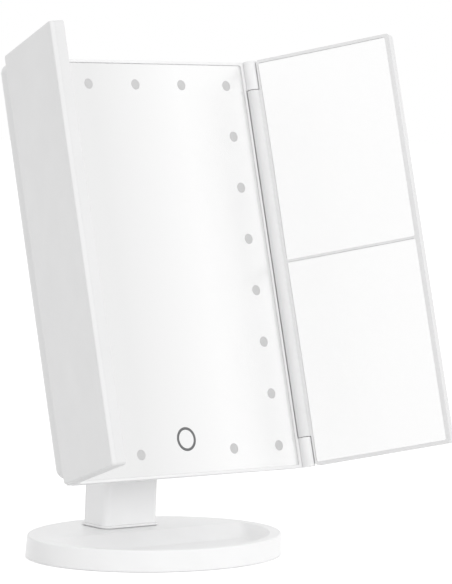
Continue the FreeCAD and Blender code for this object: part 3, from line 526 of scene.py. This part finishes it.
def finish_set() -> dict[Slot, bpy.types.Material]:
    """Build every finish of the mirror.

    Returns:
        A material for each slot of the record.
    """
    finishes = {
        Slot.PLASTIC: MouldedPlastic("white_moulding", (0.86, 0.86, 0.862)),
        Slot.MIRROR: SilveredGlass("silvered_glass"),
        Slot.LENS: Speckled("frosted_window", (0.56, 0.56, 0.56), (0.60, 0.60, 0.60),
                            rough=(0.35, 0.5), speck_mm=0.25, strength=0.05),
        Slot.INLAY: Speckled("button_ink", (0.13, 0.133, 0.136), (0.16, 0.163, 0.166),
                             rough=(0.3, 0.45), speck_mm=0.2, strength=0.05),
        Slot.STEEL: Metal("zinc_plate", (0.66, 0.66, 0.65), (0.50, 0.50, 0.48)),
        Slot.BALLAST: Metal("ballast_steel", (0.34, 0.33, 0.32), (0.20, 0.17, 0.15),
                            rough=(0.45, 0.7), grain_mm=1.4, grain_strength=0.4),
        Slot.COPPER: Metal("copper_foil", (0.85, 0.50, 0.34), (0.62, 0.34, 0.22)),
        Slot.BOARD: CircuitLaminate("circuit_laminate"),
        Slot.PHOSPHOR: Speckled("light_phosphor", (0.86, 0.72, 0.20), (0.90, 0.80, 0.34),
                                rough=(0.3, 0.4), speck_mm=0.15, strength=0.1),
        Slot.RUBBER: Speckled("grip_rubber", (0.030, 0.030, 0.031), (0.048, 0.048, 0.048),
                              rough=(0.6, 0.85), speck_mm=0.6, strength=0.35),
        Slot.BLACK: MouldedPlastic("black_moulding", (0.035, 0.035, 0.037), shade=0.8,
                                   rough=(0.4, 0.55), coat=0.0, edge_mm=0.15),
        Slot.CELL: MouldedPlastic("cell_sleeve", (0.10, 0.20, 0.30), shade=0.85,
                                  rough=(0.2, 0.3), coat=0.4, edge_mm=0.2),
        Slot.LEAD: MouldedPlastic("lead_insulation", (0.50, 0.035, 0.030), shade=0.85,
                                  rough=(0.35, 0.5), edge_mm=0.1),
    }
    return {slot: finish.material() for slot, finish in finishes.items()}


# ------------------------------------------------------------------------------- mesh tools
def in_scene(name: str, data: bpy.types.ID) -> bpy.types.Object:
    """Put new data in the scene.

    Args:
        name: Name of the object.
        data: Its mesh, lamp or camera.

    Returns:
        The object, at the origin.
    """
    thing = bpy.data.objects.new(name, data)
    bpy.context.scene.collection.objects.link(thing)
    return thing


def smooth_shading(mesh: bpy.types.Mesh, sharp_deg: float = PIECE_SHARP_DEG) -> None:
    """Shade a mesh smoothly.

    Args:
        mesh: The mesh.
        sharp_deg: Edges that turn by more than this stay sharp.
    """
    mesh.shade_smooth()
    mesh.set_sharp_from_angle(angle=math.radians(sharp_deg))


def new_piece(
    name: str, mesh: bpy.types.Mesh, material: bpy.types.Material,
    sharp_deg: float = PIECE_SHARP_DEG,
) -> bpy.types.Object:
    """Put a mesh in the scene with its finish and smooth shading.

    Args:
        name: Name of the piece.
        mesh: Its mesh, with its place in its vertices.
        material: Its finish.
        sharp_deg: Edges that turn by more than this stay sharp.

    Returns:
        The object.
    """
    mesh.materials.clear()
    mesh.materials.append(material)
    smooth_shading(mesh, sharp_deg)
    return in_scene(name, mesh)


def closed_mesh(name: str, bm: bmesh.types.BMesh, place: Matrix) -> bpy.types.Mesh:
    """Turn an edit mesh into a mesh at its place.

    Args:
        name: Name of the mesh.
        bm: Closed edit mesh, which is freed.
        place: Where the mesh goes, in metres.

    Returns:
        A mesh whose faces point outwards.
    """
    bmesh.ops.remove_doubles(bm, verts=bm.verts, dist=MERGE_DISTANCE)
    bmesh.ops.recalc_face_normals(bm, faces=bm.faces)
    mesh = bpy.data.meshes.new(name)
    bm.to_mesh(mesh)
    bm.free()
    mesh.transform(place)
    return mesh


def skinned_mesh(
    name: str, loops: Sequence[Sequence[Point]], place: Matrix, ring: bool = False,
) -> bpy.types.Mesh:
    """Skin a row of equal loops.

    Args:
        name: Name of the mesh.
        loops: Loops of points in millimetres, one after the other along the surface.
        place: Where the mesh goes, in metres.
        ring: True where the last loop joins the first, False where both ends are filled.

    Returns:
        The closed mesh.
    """
    bm = bmesh.new()
    rows = [[bm.verts.new(Vector(point) * MM) for point in loop] for loop in loops]
    count = len(rows[0])
    pairs = list(zip(rows, rows[1:]))
    if ring:
        pairs.append((rows[-1], rows[0]))
    for lower, upper in pairs:
        for index in range(count):
            after = (index + 1) % count
            bm.faces.new((lower[index], lower[after], upper[after], upper[index]))
    if not ring:
        bm.faces.new(list(reversed(rows[0])))
        bm.faces.new(rows[-1])
    return closed_mesh(name, bm, place)


def turned_mesh(
    name: str, profile: Sequence[tuple[float, float]], sides: int, place: Matrix,
    ring: bool = False,
) -> bpy.types.Mesh:
    """Turn a profile about the z axis.

    Args:
        name: Name of the mesh.
        profile: Points (radius, height) in millimetres.
        sides: Number of sides.
        place: Where the mesh goes, in metres.
        ring: True for a closed profile, False for one from pole to pole.

    Returns:
        The closed mesh.
    """
    angles = [2 * math.pi * index / sides for index in range(sides)]
    loops = [
        [(radius * math.cos(angle), radius * math.sin(angle), height) for angle in angles]
        for radius, height in profile
    ]
    return skinned_mesh(name, loops, place, ring)


def even_normals(mesh: bpy.types.Mesh) -> None:
    """Let the large faces around each corner set the shading at rounded edges.

    Args:
        mesh: Mesh that is given the new normals.
    """
    limit = math.cos(math.radians(SHADING_REACH_DEG))
    turns = [face.normal.copy() for face in mesh.polygons]
    areas = [face.area for face in mesh.polygons]
    around = [[] for _ in mesh.vertices]
    for face in mesh.polygons:
        for vertex in face.vertices:
            around[vertex].append(face.index)
    normals = []
    for face in mesh.polygons:
        for vertex in face.vertices:
            near = [index for index in around[vertex]
                    if turns[index].dot(turns[face.index]) > limit]
            total = sum((turns[index] * areas[index] for index in near), Vector())
            normals.append(total.normalized())
    mesh.normals_split_custom_set(normals)


def smoothed_copy(
    node: str, name: str, material: bpy.types.Material,
    extras: Iterable[bpy.types.Mesh] = (),
) -> bpy.types.Object:
    """Smooth-shaded copy of a packed moulding, which then stands for it.

    Args:
        node: Name of the node.
        name: Name of the piece.
        material: Its finish.
        extras: Closed meshes that are moulded onto the node's shape.

    Returns:
        The piece, riding on the node's body.
    """
    source = frame["nodes"][node]
    bm = bmesh.new()
    bm.from_mesh(source.data)
    bmesh.ops.remove_doubles(bm, verts=bm.verts, dist=MERGE_DISTANCE)
    for extra in extras:
        bm.from_mesh(extra)
    mesh = bpy.data.meshes.new(name)
    bm.to_mesh(mesh)
    bm.free()
    piece = new_piece(name, mesh, material, SKIN_SHARP_DEG)
    even_normals(piece.data)
    return adopt(piece, Body(source["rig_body"]), node)


def adopt(
    piece: bpy.types.Object, body: Body, node: str,
) -> bpy.types.Object:
    """Tie a finished piece to its body and the node that it stands for.

    Args:
        piece: The piece.
        body: Body that it rides on.
        node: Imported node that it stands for.

    Returns:
        The same piece.
    """
    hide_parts(node)
    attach(piece, body.value)
    LOG.info("%s: %d faces on %s", piece.name, len(piece.data.polygons), body.value)
    return piece


# ------------------------------------------------------------------------------- repeated parts
class Scatter:
    """Geometry Nodes tree that sets one small part on every point of a mesh."""

    def __init__(self, name: str) -> None:
        """Build the tree.

        Args:
            name: Name of the tree.
        """
        self.tree = bpy.data.node_groups.new(name, "GeometryNodeTree")
        self.inputs = {
            label: self.tree.interface.new_socket(
                label, in_out="INPUT", socket_type="NodeSocket" + kind).identifier
            for label, kind in (("Places", "Geometry"), ("Part", "Object"),
                                ("Turn", "Rotation"), ("Size", "Float"),
                                ("Finish", "Material"))
        }
        self.tree.interface.new_socket("Parts", in_out="OUTPUT",
                                       socket_type="NodeSocketGeometry")
        graph = NodeGraph(self.tree)
        given = graph.add("NodeGroupInput").outputs
        part = graph.add("GeometryNodeObjectInfo", links={"Object": given["Part"]})
        copies = graph.add("GeometryNodeInstanceOnPoints", links={
            "Points": given["Places"], "Instance": part.outputs["Geometry"],
            "Rotation": given["Turn"], "Scale": given["Size"]})
        real = graph.add("GeometryNodeRealizeInstances",
                         links={"Geometry": copies.outputs["Instances"]})
        coated = graph.add("GeometryNodeSetMaterial", links={
            "Geometry": real.outputs["Geometry"], "Material": given["Finish"]})
        graph.add("NodeGroupOutput", links={"Parts": coated.outputs["Geometry"]})

    def bake(
        self, name: str, part: bpy.types.Mesh, places: Iterable[Vector], turn: Matrix,
        material: bpy.types.Material,
    ) -> bpy.types.Object:
        """Set the part on every place and keep the result as a plain mesh.

        Args:
            name: Name of the piece.
            part: Mesh of one part about its own origin.
            places: Where the parts go, in metres.
            turn: Rotation of every part.
            material: Finish of the parts.

        Returns:
            The piece.
        """
        smooth_shading(part)
        sample = bpy.data.objects.new(name + "_part", part)
        points = bpy.data.meshes.new(name + "_places")
        points.from_pydata([tuple(place) for place in places], [], [])
        carrier = in_scene(name + "_carrier", points)
        modifier = carrier.modifiers.new("scatter", "NODES")
        modifier.node_group = self.tree
        for label, value in (("Part", sample), ("Turn", turn.to_euler()), ("Size", 1.0),
                             ("Finish", material)):
            modifier[self.inputs[label]] = value
        depsgraph = bpy.context.evaluated_depsgraph_get()
        mesh = bpy.data.meshes.new_from_object(carrier.evaluated_get(depsgraph))
        mesh.name = name
        carrier.modifiers.remove(modifier)
        bpy.data.objects.remove(carrier)
        bpy.data.objects.remove(sample)
        return in_scene(name, mesh)


# ------------------------------------------------------------------------------- sub-assemblies
@dataclass
class Stand:
    """Weighted oval base with its dish for small things, and the neck."""

    shells: tuple[tuple[str, str], ...] = (
        ("base_shell", "oval_base_shell"),
        ("neck_column", "neck_column_skin"),
        ("neck_rear_cover", "neck_rear_skin"),
    )
    # Painted light: the stand's white is lighter than the other mouldings, to lift it out of the
    # head's shade.
    colour: Colour = (0.93, 0.93, 0.932)
    # Painted shade: reach and depth of the ambient-occlusion darkening in the stand's creases and
    # joints.
    crevice_reach_mm: float = 1.0
    crevice_shade: float = 0.90

    def build(self) -> None:
        """Make the pieces of the stand."""
        material = MouldedPlastic("stand_moulding", self.colour, crevice_reach_mm=self.crevice_reach_mm,
                                  crevice_shade=self.crevice_shade).material()
        for node, name in self.shells:
            smoothed_copy(node, name, material)


@dataclass
class HingeChannel:
    """Hollow edge of the main frame that the barrel of a wing turns in."""

    hinge_x: float = HINGE_X
    hinge_forward: float = HINGE_FORWARD
    radius: float = 4.1
    half_height: float = 101.7
    arc_deg: tuple[float, float] = (151.0, 98.0)
    arc_steps: int = 12
    root_x: float = 81.9
    back: float = 3.0

    def mesh(self, side: Side, place: Matrix) -> bpy.types.Mesh:
        """Build the channel of one side.

        Args:
            side: Side of the main frame.
            place: Place of the head's own frame.

        Returns:
            The closed mesh.
        """
        first, last = self.arc_deg
        angles = [math.radians(first + (last - first) * step / self.arc_steps)
                  for step in range(self.arc_steps + 1)]
        outline = [(self.hinge_x + self.radius * math.cos(angle),
                    self.radius * math.sin(angle) - self.hinge_forward) for angle in angles]
        outline += [(outline[-1][0], self.back), (self.root_x, self.back),
                    (self.root_x, outline[0][1])]
        loops = [[(side.value * x, y, z) for x, y in outline]
                 for z in (-self.half_height, self.half_height)]
        return skinned_mesh("hinge_channel", loops, place)


@dataclass
class Head:
    """Main panel with its lights, touch button and rear cover."""

    tilt_deg: float = 16.3
    centre: Point = (0.0, 4.2, 162.2)
    light_columns: int = 5
    light_rows: int = 8
    column_pitch: float = 33.9
    row_pitch: float = 30.0
    window_radius: float = 3.1
    window_depth: float = 3.4
    window_round: float = 0.12
    window_round_middle: float = 0.3
    window_pole: float = 0.02
    window_sides: int = 48
    button_height: float = -97.9
    button_outer: float = 6.6
    button_stroke: float = 1.2
    button_depth: float = 0.4
    button_sides: int = 96
    ink_lap: float = 0.15
    ink_foot: float = 0.01
    ink_rise: float = 0.06
    # Painted shade: tone that the main mirror is darkened to at its left side.
    main_mirror_shade: Colour = (0.865, 0.865, 0.865)
    front_colour: Colour = (0.87, 0.87, 0.872)
    # Painted shade: reach and depth of the ambient-occlusion darkening in the main frame's gaps and
    # joints.
    crevice_reach_mm: float = 1.2
    crevice_shade: float = 0.85
    hinge_channel: HingeChannel = field(default_factory=HingeChannel)
    covers: tuple[tuple[str, str], ...] = (
        ("rear_cover", "rear_cover_skin"),
        ("tilt_pin_caps", "tilt_cap_skin"),
        ("battery_door", "battery_door_skin"),
    )

    def place(self) -> Matrix:
        """Place of the head's own frame, in metres."""
        return Matrix.Translation(Vector(self.centre) * MM) @ Matrix.Rotation(
            -math.radians(self.tilt_deg), 4, "X")

    def light_places(self) -> list[Vector]:
        """Centres of the light windows, in metres.

        Returns:
            The border of the grid without the bottom middle place, which is the button's.
        """
        places = []
        for row in range(self.light_rows):
            for column in range(self.light_columns):
                edge = column in (0, self.light_columns - 1) or row in (0, self.light_rows - 1)
                button = row == 0 and column == self.light_columns // 2
                if edge and not button:
                    x = (column - (self.light_columns - 1) / 2) * self.column_pitch
                    z = (row - (self.light_rows - 1) / 2) * self.row_pitch
                    places.append(self.place() @ (Vector((x, 0, z)) * MM))
        return places

    def build_lights(self, material: bpy.types.Material, scatter: Scatter) -> None:
        """Make the light windows.

        Args:
            material: Their finish.
            scatter: Tree that sets them in their places.
        """
        radius, depth = self.window_radius, self.window_depth
        soft, middle = self.window_round, self.window_round * self.window_round_middle
        window = turned_mesh(
            "light_window_part",
            [(self.window_pole, 0.0), (radius - soft, 0.0), (radius - middle, -middle),
             (radius, -soft), (radius, -depth), (self.window_pole, -depth)],
            self.window_sides, Matrix.Identity(4))
        turn = self.place().to_3x3().to_4x4() @ FACE_FRONT
        windows = scatter.bake("light_windows", window, self.light_places(), turn, material)
        adopt(windows, Body.HEAD, "led_lenses")

    def build_button(self, material: bpy.types.Material) -> None:
        """Make the inked ring of the touch button.

        Args:
            material: Its finish.
        """
        outer, inner = self.button_outer, self.button_outer - self.button_stroke
        lap, foot, rise, depth = self.ink_lap, self.ink_foot, self.ink_rise, self.button_depth
        section = [(outer, -depth), (outer, foot), (outer + lap, foot), (outer + lap, rise),
                   (inner - lap, rise), (inner - lap, foot), (inner, foot), (inner, -depth)]
        spot = self.place() @ Matrix.Translation(
            Vector((0, 0, self.button_height)) * MM) @ FACE_FRONT
        name = "touch_button_ring"
        ring = new_piece(name, turned_mesh(name, section, self.button_sides, spot, ring=True),
                         material)
        adopt(ring, Body.HEAD, "touch_ring")

    def build(self, finishes: dict[Slot, bpy.types.Material], scatter: Scatter) -> None:
        """Make the pieces of the head.

        Args:
            finishes: Materials by slot.
            scatter: Tree for the light windows.
        """
        self.build_lights(finishes[Slot.LENS], scatter)
        self.build_button(finishes[Slot.INLAY])
        front = MouldedPlastic("frame_moulding", self.front_colour, crevice_reach_mm=self.crevice_reach_mm,
                               crevice_shade=self.crevice_shade).material()
        channels = [self.hinge_channel.mesh(side, self.place()) for side in Side]
        smoothed_copy("main_frame", "main_frame_skin", front, extras=channels)
        for node, name in self.covers:
            smoothed_copy(node, name, finishes[Slot.PLASTIC])
        frame["nodes"]["main_mirror"].material_slots[0].material = SilveredGlass(
            "main_silvered_glass", side_shade_tone=self.main_mirror_shade).material()


@dataclass
class Pane:
    """Mirror pane of a wing, by its heights and the depth of its hollow, 0 where it is flat."""

    node: str
    low: float
    high: float
    hollow: float = 0.0


@dataclass
class Wing:
    """One folding wing with its mirrors."""

    side: Side
    body: Body
    swing_deg: float
    panes: tuple[Pane, ...]
    hinge_x: float = HINGE_X
    hinge_forward: float = HINGE_FORWARD
    inner: float = 5.3
    outer: float = 82.4
    glass_front: float = -0.5
    glass_back: float = 2.1
    columns: int = 40
    rows: int = 56
    # Painted shade: the front moulding is darker than the other mouldings, to tone down the lamp
    # light on the wing's front strips.
    front_colour: Colour = (0.79, 0.79, 0.792)
    back_colour: Colour = (0.815, 0.815, 0.817)
    edge_mm: float = 0.08
    # Painted shade: reach and depth of the ambient-occlusion darkening in the wing front's gaps and
    # joints.
    crevice_reach_mm: float = 1.5
    crevice_shade: float = 0.80

    def place(self, head: Head) -> Matrix:
        """Place of the wing's own frame.

        Args:
            head: The head that carries it.

        Returns:
            The matrix, in metres.
        """
        hinge = Vector((self.side.value * self.hinge_x, -self.hinge_forward, 0)) * MM
        return head.place() @ Matrix.Translation(hinge) @ Matrix.Rotation(
            -self.side.value * math.radians(self.swing_deg), 4, "Z")

    def pane_mesh(self, name: str, pane: Pane, place: Matrix) -> bpy.types.Mesh:
        """Mesh of a pane, its front a shallow part of a sphere.

        Args:
            name: Name of the mesh.
            pane: The pane.
            place: Place of the wing.

        Returns:
            The closed mesh.
        """
        low, high, deep = pane.low, pane.high, pane.hollow
        middle_x, middle_z = (self.inner + self.outer) / 2, (low + high) / 2
        diagonal = math.hypot(self.outer - middle_x, high - middle_z)
        radius = (diagonal ** 2 + deep ** 2) / (2 * deep) if deep else 0.0
        bm = bmesh.new()
        front, back = [], []
        for row in range(self.rows + 1):
            z = low + (high - low) * row / self.rows
            front.append([])
            back.append([])
            for column in range(self.columns + 1):
                x = self.inner + (self.outer - self.inner) * column / self.columns
                away = math.hypot(x - middle_x, z - middle_z)
                sunk = deep - radius + math.sqrt(radius ** 2 - away ** 2) if deep else 0.0
                for grid, y in ((front, self.glass_front + sunk), (back, self.glass_back)):
                    grid[row].append(bm.verts.new(Vector((self.side.value * x, y, z)) * MM))
        for row in range(self.rows):
            for column in range(self.columns):
                for grid in (front, back):
                    bm.faces.new((grid[row][column], grid[row][column + 1],
                                  grid[row + 1][column + 1], grid[row + 1][column]))
        rim = [(0, column) for column in range(self.columns)]
        rim += [(row, self.columns) for row in range(self.rows)]
        rim += [(self.rows, column) for column in range(self.columns, 0, -1)]
        rim += [(row, 0) for row in range(self.rows, 0, -1)]
        for (row, column), (next_row, next_column) in zip(rim, rim[1:] + rim[:1]):
            bm.faces.new((front[row][column], front[next_row][next_column],
                          back[next_row][next_column], back[row][column]))
        return closed_mesh(name, bm, place)

    def build(self, head: Head, finishes: dict[Slot, bpy.types.Material]) -> None:
        """Make the pieces of the wing.

        Args:
            head: The head that carries it.
            finishes: Materials by slot.
        """
        for pane in self.panes:
            name = pane.node + "_pane"
            glass = new_piece(name, self.pane_mesh(name, pane, self.place(head)),
                              finishes[Slot.MIRROR])
            adopt(glass, self.body, pane.node)
        prefix = self.body.value
        shells = {
            "_frame": MouldedPlastic(prefix + "_front_moulding", self.front_colour,
                                     edge_mm=self.edge_mm, crevice_reach_mm=self.crevice_reach_mm,
                                     crevice_shade=self.crevice_shade),
            "_back": MouldedPlastic(prefix + "_back_moulding", self.back_colour),
        }
        for part, finish in shells.items():
            smoothed_copy(prefix + part, prefix + part + "_skin", finish.material())


# ------------------------------------------------------------------------------- studio
@dataclass
class Camera:
    """Camera at the viewing angle, from a focal length in pixels of a 452 by 584 frame."""

    azimuth_deg: float = -41.08
    elevation_deg: float = 4.91
    roll_deg: float = 2.41
    focal_px: float = 3611.0
    distance: float = 2036.4
    origin_px: tuple[float, float] = (152.87, 553.66)
    origin: Point = (0.0, 1.7, 0.0)
    frame_px: tuple[int, int] = (452, 584)
    sensor: float = 36.0
    clip_near: float = 50.0
    clip_far: float = 60000.0

    def turn(self) -> Matrix:
        """Rotation of the camera.

        Returns:
            The matrix whose columns are its right, up and back directions.
        """
        azimuth, elevation = math.radians(self.azimuth_deg), math.radians(self.elevation_deg)
        back = Vector((math.sin(azimuth) * math.cos(elevation),
                       -math.cos(azimuth) * math.cos(elevation), math.sin(elevation)))
        right = Vector((0, 0, 1)).cross(back).normalized()
        up = back.cross(right)
        roll = math.radians(self.roll_deg)
        right_rolled = right * math.cos(roll) + up * math.sin(roll)
        up_rolled = up * math.cos(roll) - right * math.sin(roll)
        return Matrix((right_rolled, up_rolled, back)).transposed()

    def build(self) -> None:
        """Make the camera and use it for the scene."""
        turn = self.turn()
        width, height = self.frame_px
        across = (self.origin_px[0] - width / 2) / self.focal_px * self.distance
        down = (self.origin_px[1] - height / 2) / self.focal_px * self.distance
        eye = (Vector(self.origin) - turn @ Vector((across, -down, -self.distance))) * MM
        data = bpy.data.cameras.new("studio_camera")
        data.sensor_fit = "VERTICAL"
        data.sensor_width = self.sensor
        data.sensor_height = self.sensor
        data.lens = self.focal_px / height * self.sensor
        data.clip_start, data.clip_end = self.clip_near * MM, self.clip_far * MM
        camera = in_scene("studio_camera", data)
        camera.matrix_world = Matrix.Translation(eye) @ turn.to_4x4()
        bpy.context.scene.camera = camera


@dataclass
class Lamp:
    """Soft square lamp aimed at the mirror, with its place and size in metres."""

    name: str
    place: Point
    size: float
    watts: float
    target: Point = (0.0, 0.0, 0.15)

    def build(self) -> None:
        """Make the lamp."""
        data = bpy.data.lights.new(self.name, "AREA")
        data.shape = "SQUARE"
        data.size = self.size
        data.energy = self.watts
        lamp = in_scene(self.name, data)
        aim = Vector(self.target) - Vector(self.place)
        lamp.matrix_world = Matrix.Translation(self.place) @ aim.to_track_quat(
            "-Z", "Y").to_matrix().to_4x4()
        lamp.visible_glossy = False


@dataclass
class Studio:
    """White surroundings, floor, lamps and camera, with the floor's size in metres."""

    ambient: float = 0.86
    white: float = 1.0
    floor_colour: float = 0.76
    floor_lift: float = 0.55
    floor_size: float = 8.0
    lamps: tuple[Lamp, ...] = (
        Lamp("front_lamp", (-0.3, -2.2, 0.8), size=1.0, watts=13.5),
        Lamp("right_lamp", (1.6, -1.6, 0.75), size=1.0, watts=2.0),
    )

    @staticmethod
    def seen_directly(graph: NodeGraph) -> bpy.types.NodeSocket:
        """Factor that is 1 for rays from the camera, off a mirror or through glass.

        Args:
            graph: Tree to add the nodes to.

        Returns:
            The factor's socket.
        """
        rays = graph.add("ShaderNodeLightPath").outputs
        seen = rays["Is Camera Ray"]
        for kind in ("Is Glossy Ray", "Is Transmission Ray"):
            seen = graph.add("ShaderNodeMath", settings={"operation": "MAXIMUM"},
                             links={0: seen, 1: rays[kind]}).outputs[0]
        return seen

    def build_world(self) -> None:
        """Make the world: white where it is seen, softer where it lights."""
        world = bpy.data.worlds.new("studio_world")
        world.use_nodes = True
        graph = NodeGraph(world.node_tree)
        strength = graph.add("ShaderNodeMapRange",
                             values={"To Min": self.ambient, "To Max": self.white},
                             links={"Value": self.seen_directly(graph)})
        sky = graph.add("ShaderNodeBackground", values={"Color": (1.0, 1.0, 1.0, 1.0)},
                        links={"Strength": strength.outputs["Result"]})
        graph.add("ShaderNodeOutputWorld", links={"Surface": sky.outputs["Background"]})
        bpy.context.scene.world = world

    def build_floor(self) -> None:
        """Make the pale floor, which keeps the mirror's shadow."""
        half = self.floor_size / 2
        mesh = bpy.data.meshes.new("floor")
        mesh.from_pydata([(-half, -half, 0), (half, -half, 0), (half, half, 0), (-half, half, 0)],
                         [], [(0, 1, 2, 3)])
        graph = ShaderGraph("floor_paper")
        matt = graph.add("ShaderNodeBsdfDiffuse",
                         values={"Color": (self.floor_colour,) * 3 + (1.0,)})
        level = graph.add("ShaderNodeMath", settings={"operation": "MULTIPLY"},
                          values={1: self.floor_lift}, links={0: self.seen_directly(graph)})
        glow = graph.add("ShaderNodeEmission", links={"Strength": level.outputs[0]})
        both = graph.add("ShaderNodeAddShader", links={0: matt.outputs[0], 1: glow.outputs[0]})
        graph.add("ShaderNodeOutputMaterial", links={"Surface": both.outputs[0]})
        mesh.materials.append(graph.material)
        in_scene("floor", mesh)

    def build(self) -> None:
        """Make the whole studio."""
        self.build_world()
        self.build_floor()
        for lamp in self.lamps:
            lamp.build()
        Camera().build()
        bpy.context.scene.view_settings.view_transform = "Standard"


# ------------------------------------------------------------------------------- whole mirror
def dress_nodes(finishes: dict[Slot, bpy.types.Material]) -> None:
    """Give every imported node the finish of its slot.

    Args:
        finishes: Materials by slot.
    """
    slots = {part["node"]: Slot(part["material_slot"]) for part in frame["record"]["subparts"]}
    for name, node in frame["nodes"].items():
        for holder in node.material_slots:
            holder.material = finishes[slots[name]]
        LOG.info("%s: finished as %s", name, slots[name].value)


def wing_pair() -> tuple[Wing, Wing]:
    """The two wings, as they stand at rest.

    Returns:
        The right wing with its two hollow mirrors and the left wing with its flat one.
    """
    top = PANEL_HALF_HEIGHT - PANE_BORDER
    right_panes = (Pane("right_upper_mirror", HALF_BAR, top, hollow=1.2),
                   Pane("right_lower_mirror", -top, -HALF_BAR, hollow=0.8))
    return (Wing(Side.RIGHT, Body.RIGHT_WING, swing_deg=58.7, panes=right_panes),
            Wing(Side.LEFT, Body.LEFT_WING, swing_deg=70.3,
                 panes=(Pane("left_mirror", -top, top),)))


def main() -> None:
    """Build the studio and every piece of the mirror."""
    logging.basicConfig(level=logging.INFO, format="%(message)s")
    Studio().build()
    finishes = finish_set()
    dress_nodes(finishes)
    Stand().build()
    head = Head()
    head.build(finishes, Scatter("set_on_points"))
    for wing in wing_pair():
        wing.build(head, finishes)


if __name__ == "__main__":
    main()
